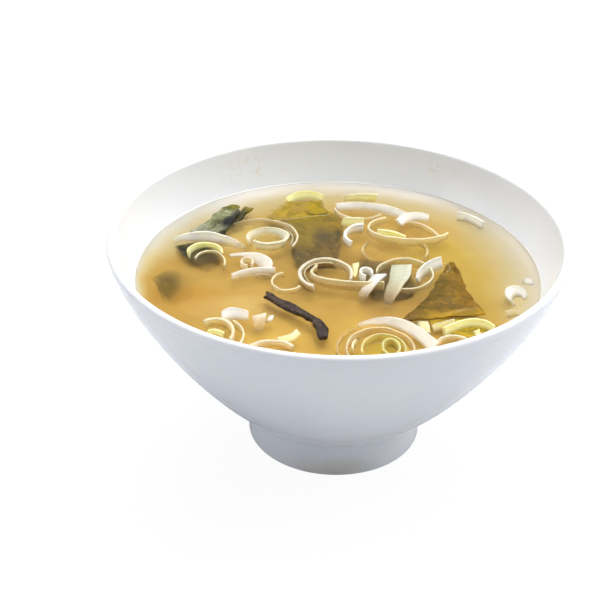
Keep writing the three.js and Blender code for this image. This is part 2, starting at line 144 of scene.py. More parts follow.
def turned(top, rings, bottom):
    """A closed form of rings of corners between two points of the axis, with the band of each face."""
    count, segments = rings.shape[:2]
    verts = np.concatenate([[[0, 0, top]], rings.reshape(-1, 3), [[0, 0, bottom]]])
    last = len(verts) - 1
    faces = []
    for j in range(segments):
        k = (j + 1) % segments
        faces.append((0, 1 + j, 1 + k))
        for a in range(1, last - segments, segments):
            b = a + segments
            faces.append((a + j, b + j, b + k, a + k))
        faces.append((last - segments + j, last, last - segments + k))
    return verts, faces, np.tile(np.arange(count + 1), segments)


def bezier(t):
    t, p = np.asarray(t, float)[:, None], WALL_CURVE
    return (1 - t) ** 3 * p[0] + 3 * (1 - t) ** 2 * t * p[1] + 3 * (1 - t) * t ** 2 * p[2] + t ** 3 * p[3]


def inner_wall(t, inset=0.0):
    """The inner side of the wall, or a line the inset further in."""
    s, p = np.asarray(t, float)[:, None], WALL_CURVE
    slope = (1 - s) ** 2 * (p[1] - p[0]) + 2 * (1 - s) * s * (p[2] - p[1]) + s ** 2 * (p[3] - p[2])
    slope /= np.linalg.norm(slope, axis=1)[:, None]
    return bezier(t) + slope[:, ::-1] * np.array([-1, 1]) * (WALL + inset)


WALL_FINE = inner_wall(np.linspace(0, 1, 400), TOUCH)


def wall_radius(z):
    """Radius of the broth at a height, where it meets the bowl."""
    return np.interp(z, WALL_FINE[:, 1], WALL_FINE[:, 0])


SURFACE_RADIUS = float(wall_radius(LEVEL))

# ---- camera and light
LENS, DISTANCE, ELEVATION, ROLL = 87.7, 618.0, 30.72, 0.66
AIM = (-15.5, 0.0, 64.35)
camera_data = bpy.data.cameras.new("camera")
camera_data.lens, camera_data.sensor_width = LENS, 36
camera_data.clip_start, camera_data.clip_end = 0.01, 30
camera = bpy.data.objects.new("camera", camera_data)
tilt = math.radians(ELEVATION)
camera.location = Vector(AIM) * MM + Vector((0, -math.cos(tilt), math.sin(tilt))) * DISTANCE * MM
turn = Matrix.Rotation(math.radians(90 - ELEVATION), 4, "X") @ Matrix.Rotation(math.radians(ROLL), 4, "Z")
camera.rotation_euler = turn.to_euler()
bpy.context.scene.collection.objects.link(camera)
bpy.context.scene.camera = camera


def lamp(name, place, aim, size, power, colour=(1, 1, 1)):
    """An area lamp. Its place, aim and size are in metres."""
    data = bpy.data.lights.new(name, "AREA")
    data.shape, data.size, data.size_y = "RECTANGLE", *size
    data.energy, data.color = power, colour
    obj = bpy.data.objects.new(name, data)
    obj.location = place
    obj.rotation_euler = (Vector(aim) - Vector(place)).to_track_quat("-Z", "Y").to_euler()
    bpy.context.scene.collection.objects.link(obj)


WARM = (1.0, 0.985, 0.96)
lamp("overhead", (0.1, 0.1, 1.4), (0, 0, 0.08), (1.4, 1.4), 12.6, WARM)
lamp("key", (1.15, 0.15, 0.95), (0, 0, 0.07), (0.8, 0.8), 9.0, WARM)
lamp("back", (0.1, 1.0, 1.35), (0, 0, 0.08), (1.4, 0.5), 19.6, (1.0, 0.99, 0.97))
lamp("left", (-1.2, -0.1, 0.8), (0, 0, 0.07), (1.0, 0.8), 3.5)
world = bpy.data.worlds.new("studio")
bpy.context.scene.world = world
world.use_nodes = True
sky = world.node_tree.nodes["Background"].inputs
sky["Color"].default_value, sky["Strength"].default_value = (0.94, 0.97, 1.03, 1), 0.38
bpy.context.scene.view_settings.view_transform = "Standard"
bpy.context.scene.view_settings.look = "None"


# ---- materials
GLAZE_IOR, WET_IOR, SURFACE_IOR = 1.5, 1.36, 1.25


class Shader:
    """Builds one material from nodes. Places are the object's own, in metres."""

    def __init__(self, name):
        self.material = bpy.data.materials.new(name)
        self.material.use_nodes = True
        self.tree = self.material.node_tree
        self.tree.nodes.clear()
        self.output = self.node("OutputMaterial")
        self.coords = self.node("TexCoord").outputs["Object"]

    def node(self, kind, *values, props=(), **inputs):
        """A new node. values go to its first sockets and inputs to the named ones, with _ for a space."""
        made = self.tree.nodes.new("ShaderNode" + kind)
        for key, value in dict(props).items():
            setattr(made, key, value)
        for key, value in enumerate(values):
            self.put(made.inputs[key], value)
        for key, value in inputs.items():
            self.put(made.inputs[key.replace("_", " ")], value)
        return made

    def put(self, socket, value):
        if isinstance(value, bpy.types.NodeSocket):
            self.tree.links.new(value, socket)
        elif socket.type == "RGBA" and len(value) == 3:
            socket.default_value = (*value, 1)
        else:
            socket.default_value = value

    def math(self, operation, *values, clamp=False):
        return self.node("Math", *values, props={"operation": operation, "use_clamp": clamp}).outputs[0]

    def plus(self, a, b, clamp=False):
        return self.math("ADD", a, b, clamp=clamp)

    def minus(self, a, b, clamp=False):
        return self.math("SUBTRACT", a, b, clamp=clamp)

    def times(self, first, *others):
        for other in others:
            first = self.math("MULTIPLY", first, other)
        return first

    def noise(self, scale, detail=3.0, rough=0.55, vector=None, distortion=0.0):
        return self.node("TexNoise", Scale=scale, Detail=detail, Roughness=rough, Distortion=distortion,
                         Vector=vector or self.coords).outputs["Fac"]

    def ramp(self, value, low, high, a=0.0, b=1.0):
        """a up to low, b from high on, and a smooth step between."""
        return self.node("MapRange", props={"interpolation_type": "SMOOTHSTEP"}, Value=value, From_Min=low,
                         From_Max=high, To_Min=a, To_Max=b).outputs["Result"]

    def mix(self, share, a, b, blend="MIX"):
        made = self.node("Mix", share, props={"data_type": "RGBA", "blend_type": blend})
        self.put(made.inputs[6], a)
        self.put(made.inputs[7], b)
        return made.outputs[2]

    def level_out(self, share, normal):
        """The normal, turned upright by the share."""
        made = self.node("Mix", share, props={"data_type": "VECTOR"})
        self.put(made.inputs[4], normal)
        self.put(made.inputs[5], (0, 0, 1))
        return made.outputs[1]

    def blend(self, share, a, b):
        return self.node("MixShader", share, a, b).outputs[0]

    def bump(self, height, distance, strength=1.0):
        return self.node("Bump", Strength=strength, Distance=distance * MM, Height=height).outputs[0]

    def paint(self):
        """The colour and share painted on the mesh."""
        return self.node("Attribute", props={"attribute_name": "tint"}).outputs

    def at(self, axis):
        return self.node("SeparateXYZ", self.coords).outputs[axis]

    def reach(self):
        """Distance from the bowl's axis."""
        x, y = self.at("X"), self.at("Y")
        return self.math("SQRT", self.plus(self.times(x, x), self.times(y, y)))

    def depth(self):
        """Depth under the surface, in millimetres, never below 0."""
        return self.math("MAXIMUM", self.times(self.minus(LEVEL * MM, self.at("Z")), 1 / MM), 0.0)

    def murk(self, fade=FADE, power=1.0):
        """How far a sunk spot has faded to the broth, 0 at the surface."""
        share = self.math("POWER", self.math("DIVIDE", self.depth(), fade), power)
        return self.minus(1.0, self.math("EXPONENT", self.times(share, -1.0)), clamp=True)

    def broth(self):
        """The colour of the broth: slow clouds with some painted shade among the leaves in the middle, warmer
        in front, paler where it is thin over the wall.
        """
        x, y = self.at("X"), self.at("Y")
        haze = self.noise(38.0, 3.0, 0.6, distortion=0.6)
        colour = self.mix(self.ramp(haze, 0.35, 0.68), BROTH_DEEP, BROTH_MID)
        wisps = self.ramp(haze, 0.3, 0.7, 0.55, 1.0)
        for cx, cy, long, wide, share, tone in CLOUDS_AND_SHADE:
            dx = self.math("DIVIDE", self.minus(x, cx * MM), long * MM)
            dy = self.math("DIVIDE", self.minus(y, cy * MM), wide * MM)
            away = self.plus(self.times(dx, dx), self.times(dy, dy))
            colour = self.mix(self.times(self.ramp(away, 1.6, 0.0, 0.0, share), wisps), colour, tone)
        drift = self.times(self.minus(self.noise(30.0, 2.0), 0.5), 0.012)
        inward = self.minus(SURFACE_RADIUS * MM, self.plus(self.reach(), drift))
        # the pale margin is narrow at the left and in front, and broad at the back
        slant = self.times(x, 0.35)
        inward = self.math("DIVIDE", inward, self.ramp(self.plus(y, slant), -0.045, 0.025, 0.16, 1.0))
        rim = self.mix(self.ramp(x, -0.035, -0.07), FAR_RIM, LEFT_RIM)
        rim = self.mix(self.ramp(self.minus(y, slant), 0.02, 0.06), NEAR_RIM, rim)
        for (start, end), tone in zip(PALING, (*PALE_TONES, rim)):
            colour = self.mix(self.ramp(inward, start * MM, end * MM), colour, tone)
        return colour

    def veil(self, shader, share, shade=1.0):
        """The shader seen in part: share 0 is clear. shade is how much of its shadow falls."""
        if shade < 1:
            ray = self.node("LightPath").outputs["Is Shadow Ray"]
            share = self.times(share, self.math("MULTIPLY_ADD", ray, shade - 1, 1.0))
        return self.blend(share, self.node("BsdfTransparent", (1, 1, 1)).outputs[0], shader)

    def finish(self, surface):
        self.tree.links.new(surface, self.output.inputs["Surface"])
        return self.material


SHEEN = 0.018       # the light that a wet face adds to its colour


def seen(*rgb):
    """The base colour of a level face that shows these 0-255 display values under the lamps."""
    return tuple(min(max(c - SHEEN, 0.003), 0.97) for c in srgb(*rgb))


def brew(*rgb):
    """The same for the broth, which the bowl's white wall lights as well."""
    return tuple(0.92 * c for c in seen(*rgb))


BROTH_DEEP, BROTH_MID = brew(184, 150, 82), brew(194, 161, 90)
# three steps in from the wall: where each starts and ends, in millimetres, and the colours of the first two
PALING = ((29, 13), (20, 7), (12, 1))
PALE_TONES = brew(198, 176, 118), brew(200, 186, 146)
NEAR_RIM, LEFT_RIM = brew(206, 198, 178), brew(198, 196, 184)
FAR_RIM = brew(234, 230, 222)     # the wall shines through here
# soft clouds in the broth, the darker ones in the middle among the leaves partly painted shade: x, y, half
# length, half width, in millimetres, share and colour
CLOUDS_AND_SHADE = (
    (2, -56, 62, 26, 0.9, brew(214, 178, 94)), (28, -26, 20, 13, 0.8, brew(184, 148, 84)),
    (-62, -18, 16, 12, 0.9, brew(192, 146, 70)), (-34, 34, 22, 16, 0.8, brew(202, 178, 110)),
    (50, 24, 24, 16, 0.75, brew(188, 164, 76)), (-24, 12, 16, 12, 0.8, brew(182, 150, 84)),
    (62, -4, 20, 30, 0.85, brew(186, 160, 82)), (4, 17, 14, 10, 0.7, brew(176, 140, 78)),
    (-41, -24, 22, 10, 0.5, brew(214, 184, 120)), (17, -55, 8, 6, 0.9, brew(214, 186, 74)),
    (52, -42, 12, 7, 0.8, brew(196, 164, 44)),
)
# the third of these is painted shade for the far side of the inside wall
PORCELAIN, COOL_PORCELAIN, FAR_WALL_SHADE = srgb(238, 240, 243), srgb(235, 237, 241), srgb(231, 233, 234)
# the last of these is a faint painted shade for low on the foot
WARM_PORCELAIN, SPLASH, FOOT_SHADE = srgb(222, 219, 212), srgb(222, 210, 178), srgb(224, 219, 211)


def glaze(name, wet):
    s = Shader(name)
    colour = s.mix(s.ramp(s.noise(22.0, 2.0), 0.3, 0.7), COOL_PORCELAIN, PORCELAIN)
    colour = s.mix(s.ramp(s.noise(900.0, 1.0), 0.74, 0.8, 0.0, 0.35), colour, WARM_PORCELAIN)
    if wet:
        far, height = s.at("Y"), s.at("Z")
        # painted shade: the upper far side of the inside wall is a little darker
        colour = s.mix(s.ramp(far, 0.045, 0.09), colour, FAR_WALL_SHADE)
        # faint dried splashes on the far wall
        drops = s.ramp(s.noise(480.0, 2.0, 0.6), 0.54, 0.64)
        band = s.times(s.ramp(s.noise(60.0, 2.0), 0.45, 0.58), s.ramp(far, 0.06, 0.075),
                       s.ramp(height, 0.094, 0.091), s.ramp(height, 0.081, 0.086))
        colour = s.mix(s.times(drops, band, 0.4), colour, SPLASH)
    else:
        # a faint, slightly warm painted shade low on the middle of the foot
        across = s.at("X")
        foot_shade = s.times(s.ramp(across, -0.024, -0.008), s.ramp(across, 0.022, 0.006),
                        s.ramp(s.at("Z"), 0.012, 0.004), s.ramp(s.noise(90.0, 2.0), 0.3, 0.6, 0.4, 1.0))
        colour = s.mix(foot_shade, colour, FOOT_SHADE)
    rough = s.ramp(s.noise(60.0, 2.0), 0.3, 0.7, 0.1, 0.16)
    normal = s.bump(s.noise(70.0, 2.0), 0.25, 0.25)
    if wet:
        murk = s.murk(0.25, 0.8)
        colour = s.mix(murk, colour, s.broth())
        rough = s.plus(rough, s.times(murk, 0.8), clamp=True)
        normal = s.level_out(murk, normal)
    return s.finish(s.node("BsdfPrincipled", Base_Color=colour, Roughness=rough, Normal=normal,
                           IOR=GLAZE_IOR).outputs[0])


def bisque():
    """The bare clay that the bowl stands on."""
    s = Shader("bare_foot")
    colour = s.mix(s.noise(400.0, 3.0), srgb(206, 200, 190), srgb(222, 217, 208))
    return s.finish(s.node("BsdfPrincipled", Base_Color=colour, Roughness=0.85,
                           Normal=s.bump(s.noise(1500.0, 2.0), 0.1, 0.5)).outputs[0])


def murky():
    s = Shader("murky_broth")
    colour = s.mix(1.0, s.broth(), s.paint()["Color"], "MULTIPLY")
    return s.finish(s.node("BsdfPrincipled", Base_Color=colour, Roughness=0.9, Specular_IOR_Level=0.0,
                           Subsurface_Weight=0.5, Subsurface_Radius=(1.0, 0.9, 0.7),
                           Subsurface_Scale=0.0012).outputs[0])


def surface_gloss():
    """The wet surface: clear but for a little murk, with the gloss of water."""
    s = Shader("broth_surface")
    normal = s.bump(s.noise(45.0, 2.0), 0.06, 0.6)
    haze = s.node("BsdfDiffuse", s.broth()).outputs[0]
    share = s.ramp(s.noise(30.0, 3.0, 0.6), 0.35, 0.7, 0.02, 0.08)
    # a thin painted line where the broth meets the bowl: a painted highlight, brightest at the back and left,
    # and elsewhere painted in the tones of the wall and the broth
    x, y = s.at("X"), s.at("Y")
    line = s.ramp(s.reach(), (SURFACE_RADIUS - 1.3) * MM, (SURFACE_RADIUS - 0.2) * MM, 0.0, 0.95)
    bright = s.times(s.ramp(x, 0.045, 0.02), s.ramp(y, -0.01, 0.02),
                     s.ramp(s.noise(60.0, 2.0), 0.35, 0.6, 0.4, 1.0))
    wall = s.mix(s.ramp(x, 0.03, 0.06), WARM_PORCELAIN, srgb(212, 208, 197))
    tone = s.mix(bright, s.mix(s.ramp(y, -0.03, 0.0), s.broth(), wall), srgb(250, 248, 242))
    under = s.blend(line, s.veil(haze, share), s.node("BsdfDiffuse", tone).outputs[0])
    gloss = s.node("BsdfGlossy", Roughness=0.03, Normal=normal).outputs[0]
    return s.finish(s.blend(s.node("Fresnel", SURFACE_IOR, Normal=normal).outputs[0], under, gloss))


def unseen():
    s = Shader("broth_inside")
    return s.finish(s.node("BsdfTransparent", (1, 1, 1)).outputs[0])


def leek_material(name):
    """Wet leek: fibres cross the strip, the cut edges are paler, and sunk parts fade into the broth."""
    s = Shader(name)
    painted = s.paint()
    run = s.node("UVMap", props={"uv_map": "run"}).outputs[0]
    fibre = s.noise(1.0, 3.0, 0.6, s.node("Mapping", run, Scale=(2.4, 0.22, 1)).outputs[0])
    veins = s.noise(1.0, 2.0, 0.5, s.node("Mapping", run, Scale=(0.16, 3.2, 1)).outputs[0])
    blotch = s.noise(230.0, 2.0)
    colour = s.mix(s.ramp(fibre, 0.35, 0.75, 0.0, 0.3), painted["Color"], srgb(250, 249, 240))
    colour = s.mix(s.ramp(blotch, 0.5, 0.8, 0.0, 0.14), colour, srgb(206, 190, 130))
    colour = s.mix(s.ramp(veins, 0.52, 0.62, 0.0, 0.16), colour, srgb(214, 206, 158))
    murk = s.murk(2.0, 1.6)
    rough = s.plus(s.ramp(blotch, 0.3, 0.7, 0.36, 0.5), s.times(murk, 0.5), clamp=True)
    p = s.node("BsdfPrincipled", Base_Color=s.mix(murk, colour, s.broth()), Roughness=rough, IOR=WET_IOR,
               Normal=s.level_out(murk, s.bump(fibre, 0.09, 0.6)), Subsurface_Weight=1.0,
               Subsurface_Radius=(1.0, 0.95, 0.8), Subsurface_Scale=0.0015)
    share = s.times(painted["Alpha"], s.ramp(s.depth(), 0.5, 3.3, 1.0, 0.0))
    return s.finish(s.veil(p.outputs[0], share, 0.3))


def weed_material(name, speck, dark, bright, rough=0.36, fade=9.0):
    """Wet seaweed, mottled between a darker and a brighter tone."""
    s = Shader(name)
    painted = s.paint()
    tint = painted["Color"]
    grain = s.noise(speck, 4.0, 0.7)
    patch = s.noise(speck * 0.22, 3.0, 0.65, distortion=0.8)
    colour = s.mix(s.ramp(grain, 0.46, 0.62, 0.0, 0.9), tint, s.mix(1.0, tint, bright, "MULTIPLY"))
    colour = s.mix(s.ramp(patch, 0.47, 0.6, 0.0, 0.85), colour, s.mix(1.0, tint, dark, "MULTIPLY"))
    murk = s.murk(fade)
    shine = s.plus(s.ramp(grain, 0.3, 0.7, rough - 0.08, rough + 0.2), s.times(murk, 0.6), clamp=True)
    normal = s.level_out(murk, s.bump(s.plus(grain, s.times(patch, 2.0)), 0.3, 0.7))
    p = s.node("BsdfPrincipled", Base_Color=s.mix(murk, colour, s.broth()), Roughness=shine, Normal=normal,
               IOR=WET_IOR, Specular_IOR_Level=0.15)
    return s.finish(s.veil(p.outputs[0], painted["Alpha"], 0.25))


# ---- bowl
LIP_GROOVE = (0.1, 91.4, 1.3)     # depth, height and half width of the shallow groove under the lip
# radius and height along the inner edge of the foot ring, out from the recess, and along the side of the foot
RING_EDGE = ((0.02, 2.0), (0.15, 0.5), (0.6, 0.05), (1.0, 0.0))
FOOT_SIDE = [(37.32, 4.0), (37.2, 9.0), (37.08, 13.2), (37.12, 15.1), (37.5, 16.45), (38.4, 17.35)]


def quarter(centre, radius, start, steps):
    """Points that go anticlockwise round a quarter of a circle, from next to start to its end."""
    a = np.radians(start + 90 / steps * np.arange(1, steps + 1))
    return [(centre[0] + radius * c, centre[1] + radius * s) for c, s in zip(np.cos(a), np.sin(a))]


def bowl():
    recess, corner = FOOT_RADIUS - FOOT_RING, RECESS_CORNER
    outer = bezier(np.concatenate([np.linspace(0, 0.85, 50), np.linspace(0.86, 1, 30)]))
    depth, height, reach = LIP_GROOVE
    outer[:, 0] -= depth * np.exp(-((outer[:, 1] - height) / reach) ** 2)
    inner = inner_wall(np.linspace(0, 1, 60))
    # from the recess over the bare foot ring to the foot's edge, then up the foot and the wall
    turn = quarter((recess - corner, RECESS_DEPTH - corner), corner, 0, 5)[::-1]
    profile = [(recess - corner, RECESS_DEPTH)] + turn[1:] + [(recess, RECESS_DEPTH - corner)]
    profile += [(recess + r, z) for r, z in RING_EDGE]
    bare_from = len(profile)
    profile.append((FOOT_RADIUS - FOOT_EDGE - 0.1, 0.0))
    bare_to = len(profile)
    profile += quarter((FOOT_RADIUS - FOOT_EDGE, FOOT_EDGE), FOOT_EDGE, -90, 6)
    profile += FOOT_SIDE + outer[3:].tolist()
    # half round over the lip; the wet glaze starts near its inner side
    middle = (outer[-1] + inner[-1]) / 2
    arm = outer[-1] - middle
    for a in math.pi * np.arange(1, 12) / 12:
        profile.append((middle[0] + arm[0] * math.cos(a) - arm[1] * math.sin(a),
                        middle[1] + arm[0] * math.sin(a) + arm[1] * math.cos(a)))
    inside_from = len(profile) - 5
    profile += inner[::-1].tolist()
    rings = np.array([ring(r, z, BOWL_SEGMENTS) for r, z in profile])
    verts, faces, band = turned(RECESS_DEPTH, rings, FLOOR_HEIGHT)
    kind = np.where(band >= inside_from, 1, 0)
    kind[(band >= bare_from) & (band < bare_to)] = 2
    # the lip and wall of a thrown bowl are never quite true
    angle = np.arctan2(verts[:, 1], verts[:, 0])
    share = smooth(40, 96, verts[:, 2])
    verts[:, 2] += share * (0.12 * np.cos(2 * angle + 0.6) + 0.08 * np.cos(3 * angle + 2.0)) - 0.1 * share
    settle(new_object("bowl_glazed", verts, faces, face_material=kind),
           [glaze("glaze_outside", False), glaze("glaze_inside", True), bisque()], "bowl")


# ---- strips of leek
def arc(centre, radii, start, end):
    def point(u):
        a = np.radians(start + (end - start) * np.asarray(u, float))
        return np.stack([centre[0] + radii[0] * np.cos(a), centre[1] + radii[1] * np.sin(a)], 1)
    return point


def through(*places):
    """A smooth line through a few places."""
    p = np.array(places, float)
    last = len(p) - 1

    def point(u):
        t = np.clip(np.asarray(u, float), 0, 1) * last
        i = np.minimum(np.floor(t).astype(int), last)
        w = (t - i)[:, None]
        a, b, c, d = (p[np.clip(i + k, 0, last)] for k in (-1, 0, 1, 2))
        v0, v1 = (c - a) / 2, (d - b) / 2
        return (2 * b - 2 * c + v0 + v1) * w ** 3 + (-3 * b + 3 * c - 2 * v0 - v1) * w ** 2 + v0 * w + b
    return point


def trio(*rgb):
    """The colours of a strip's body, its upper cut edge and its lower edge."""
    return srgb(*rgb[:3]), srgb(*rgb[3:6]), srgb(*rgb[6:])


# each upper cut edge is set a little darker than its body: painted shade against the light that the edges
# catch from above
TINTS = {
    "white": trio(253, 253, 249, 236, 236, 231, 246, 240, 220),
    "cream": trio(248, 234, 190, 224, 212, 176, 236, 214, 150),
    "yellow": trio(255, 251, 184, 250, 240, 166, 242, 226, 122),
    "green": trio(253, 250, 232, 222, 216, 182, 236, 226, 172),
    "pink": trio(247, 231, 196, 222, 207, 180, 232, 208, 152),
}
CLEAR = {"white": 0.9, "cream": 0.7, "yellow": 0.85, "green": 0.7, "pink": 0.7}   # how much the faces show
HAZY = seen(206, 170, 106)
WATER_MARKS = []    # places where a piece breaks the surface, for the rise of the broth round it
STRIP_STEP = 0.6
BEVEL = 0.14        # rounding of a cut edge
WIDEN, THICKEN = 1.12, 0.82
SIDE_STOPS = (-1, -0.93, -0.4, 0, 0.4, 0.93, 1)
DIAGONAL = math.sqrt(0.5)
# points round a strip's cut face: the side across its thickness, the share of its height, and the bevel's
# direction; from the face on one side over the top to the face on the other side
HALF_SECTION = [(1, f, 1, 0) for f in SIDE_STOPS] + [
    (1, 1, DIAGONAL, DIAGONAL), (1, 1, 0, 1), (0, 1, 0, 1), (-1, 1, 0, 1), (-1, 1, -DIAGONAL, DIAGONAL)]
SECTION = np.array(HALF_SECTION + [tuple(-c for c in corner) for corner in HALF_SECTION])


def layered(base, *layers):
    """A colour with others laid over it: each layer is a share and a colour."""
    out = np.array(base)
    for share, colour in layers:
        share = np.clip(share, 0, 1)[..., None]
        out = out * (1 - share) + np.array(colour) * share
    return out


def tinted(body, edge, low, v, u, seed):
    """Colour over a band: v runs from its lower edge (-1) to its upper edge (1)."""
    ripe = 0.35 * smooth(0.1, 0.8, lattice_noise(u * 2.4, v * 0.4, seed + 1))
    base = layered(body, (smooth(0.35, 0.95, v), edge), (smooth(-0.5, -1, v), low), (ripe, low))
    return np.clip(base * (1 + 0.05 * lattice_noise(u * 5, v, seed))[..., None], 0, 1)


def strip(name, colour, path, rise, width, thick, lean=0.0, tones=None, slot=None, node=None, fade=1.0,
          clear=None, drop=1.6, tail=0.0):
    """A strip of leek wall with crisp cut edges, in the place its solid has. Along its length, rise is
    the height of its middle over the surface, lean its tilt in degrees, fade how much of it shows and
    tail how far its colour has gone to that of the hazy broth. clear is how much of its middle shows
    between its edges, and drop how far its foot reaches down."""
    seed = sum(map(ord, name))
    length = np.linalg.norm(np.diff(path(np.linspace(0, 1, 200)), axis=0), axis=1).sum()
    n = max(int(length / STRIP_STEP), 6)
    gap, probe = 0.1 / length, 1e-3
    u = np.concatenate([[0], np.linspace(gap, 1 - gap, n - 1), [1]])
    here, ahead = path(u), path(np.minimum(u + probe, 1)) - path(np.maximum(u - probe, 0))
    ahead /= np.linalg.norm(ahead, axis=1)[:, None]
    # all that follows has a row for each step along the strip and a column for each point round its section
    u = u[:, None]
    s = u * length
    run = np.hstack([ahead, 0 * s])
    tilt = np.radians(soft_along(lean, u) + 5 * lattice_noise(s / 5.0, 4.4, seed + 7))
    up = np.hstack([-ahead[:, 1:], ahead[:, :1], 0 * s]) * np.sin(tilt) + np.cos(tilt) * np.array([0, 0, 1])
    out = np.cross(up, run)
    z = LEVEL + soft_along(rise, u)
    w, t = WIDEN * soft_along(width, u) / 2, THICKEN * soft_along(thick, u) / 2
    w = w * (1 + 0.1 * lattice_noise(s / 5.5, 2.2, seed + 8))
    side, share, bevel_x, bevel_y = SECTION.T
    at_end = np.isin(np.arange(n + 1), (0, n))[:, None]
    b = np.minimum(BEVEL, 0.45 * t)
    inset = b + 0.07 * at_end
    top_wave = 0.14 * lattice_noise(s / 2.8, 0.3, seed) + 0.05 * lattice_noise(s / 0.9, 5.3, seed + 4)
    low_wave = 0.16 * lattice_noise(s / 3.4, 7.7, seed + 1)
    y = share * (w - inset) + bevel_y * b + np.where(share > 0, top_wave, low_wave) * np.abs(share)
    y = y - drop * np.cos(tilt) * np.clip(-share, 0, 1)
    x = (side * (t - inset) + bevel_x * b) * (1 + 0.1 * lattice_noise(s / 3.0, share * 1.3 + 11, seed + 2))
    x = x + 0.16 * lattice_noise(s / 4.5, share * 0.8 + 3, seed + 3)
    slant = np.random.RandomState(seed + 9).uniform(-0.3, 0.3, 2)
    cut = (slant[0] * np.exp(-s / 1.5) + slant[1] * np.exp(-(length - s) / 1.5)) * y
    cut = cut + at_end * 0.1 * lattice_noise(share * 2.2, 1.7, seed + 6)
    places = np.hstack([here, z])[:, None]
    for amount, way in ((y, up), (x, out), (cut, run)):
        places = places + amount[..., None] * way[:, None]

    # painted shade: strips that lie flat, facing the lamps above, are painted darker, and so are the upper
    # cut edges of upright strips, which catch that light
    level = abs(np.mean(lean))
    body, edge, low = np.array(tones or TINTS[colour]) * (1 - 0.3 * smooth(30, 75, level))
    edge = edge * (1 - 0.26 * smooth(60, 30, level))
    tint = layered(tinted(body, edge, low, share, s / 10, seed + 5), (soft_along(tail, u), HAZY))
    clear = clear or CLEAR[colour]
    shown = soft_along(fade, u) * (clear + (1 - clear) * smooth(0.3, 0.9, share))
    shown = shown * (1 - min(0.5 * drop, 0.8) * smooth(-0.1, -1, share))

    def closed(values):
        """The values of all corners and of the middles of both ends."""
        return np.concatenate([values.reshape(-1, values.shape[-1]), values[[0, -1]].mean(1)])

    m = len(SECTION)
    first, last = (n + 1) * m, (n + 1) * m + 1
    faces = []
    for j in range(m):
        k = (j + 1) % m
        faces += [(i + j, i + k, i + m + k, i + m + j) for i in range(0, n * m, m)]
        faces += [(first, k, j), (last, n * m + j, n * m + k)]
    uv = np.stack(np.broadcast_arrays(s, y + x * 2), -1)
    obj = new_object(name, closed(places), faces, uv=closed(uv), tint=closed(np.dstack([tint, shown])))
    half = np.abs(up[:, 2:]) * w + np.abs(out[:, 2:]) * t
    WATER_MARKS.extend(here[(np.abs(z - LEVEL) < half)[:, 0]])
    settle(obj, [LEEK_SKIN], node)


# ---- leaves
def leaf(name, material, left, right, rise, wave, thick, tone, cells=(80, 36), node=None,
         seed=0, ruffle=0.25, ragged=0.5, show=None):
    """A thin wavy leaf between two edges, in the place its solid has. show gives how much of it shows."""
    nu, nv = cells
    u, v = np.meshgrid(np.linspace(0, 1, nu + 1), np.linspace(0, 1, nv + 1), indexing="ij")
    a, b = through(*left)(u[:, 0]), through(*right)(u[:, 0])
    across = b - a
    breadth = np.linalg.norm(across, axis=1)[:, None]
    across /= breadth
    run = np.stack([across[:, 1], -across[:, 0]], 1)
    length = np.linalg.norm(np.diff(a, axis=0), axis=1).sum()
    # ragged outline
    side, end = np.abs(2 * v - 1), np.abs(2 * u - 1)
    jag = ragged * lattice_noise(u * length / 3.0, (2 * v - 1) * 2 + 9, seed + 20) * side ** 3
    place = a[:, None] * (1 - v[..., None]) + b[:, None] * v[..., None] + across[:, None] * jag[..., None]
    jag = ragged * lattice_noise(place[..., 0] / 2.6, place[..., 1] / 2.6, seed + 21) * end ** 8
    place = place + run[:, None] * jag[..., None]
    x, y = place[..., 0], place[..., 1]
    ripple = wave[0] * np.sin(wave[1] * u * math.pi) * np.cos(wave[2] * v * math.pi)
    rim = np.maximum(side ** 3, end ** 8)
    wrinkle = lattice_noise(x / 4.4, y / 4.4, seed + 1) + 0.5 * lattice_noise(x / 1.9, y / 1.9, seed + 2)
    z = LEVEL + soft_along(rise, u) + ripple + ruffle * wrinkle * (0.5 + 0.8 * rim)
    half = thick / 2 * (1 - 0.7 * np.maximum(side ** 8, end ** 20))
    verts = np.concatenate([np.stack([x, y, z + k * half], -1).reshape(-1, 3) for k in (1, -1)])

    def at(i, j, back):
        return i * (nv + 1) + j + back * (nu + 1) * (nv + 1)

    faces = []
    for i in range(nu):
        for j in range(nv):
            faces.append((at(i, j, 0), at(i + 1, j, 0), at(i + 1, j + 1, 0), at(i, j + 1, 0)))
            faces.append((at(i, j + 1, 1), at(i + 1, j + 1, 1), at(i + 1, j, 1), at(i, j, 1)))
    border = [(i, 0) for i in range(nu)] + [(nu, j) for j in range(nv)]
    border += [(i, nv) for i in range(nu, 0, -1)] + [(0, j) for j in range(nv, 0, -1)]
    for (i, j), (m, n) in zip(border, border[1:] + border[:1]):
        faces.append((at(i, j, 0), at(i, j, 1), at(m, n, 1), at(m, n, 0)))
    tint = np.broadcast_to(tone(u, v, x, y), x.shape + (3,)).reshape(-1, 3)
    inward = np.minimum(np.minimum(u, 1 - u) * length, np.minimum(v, 1 - v) * breadth)
    alpha = np.clip(show(x, y, inward), 0, 1) if show else np.ones(x.shape)
    tint = np.column_stack([np.concatenate([tint, tint * 0.8]), np.tile(alpha.ravel(), 2)])
    obj = new_object(name, verts, faces, tint=np.clip(tint, 0, 1))
    if obj.data.polygons[0].normal.z < 0:
        obj.data.flip_normals()
    wet_rim = (np.abs(z - LEVEL) < half + 0.25) & (rim > 0.5)
    WATER_MARKS.extend(np.stack([x[wet_rim], y[wet_rim]], 1)[::3])
    settle(obj, [material], node)


bowl()
LEEK_SKIN = leek_material("leek_skin")

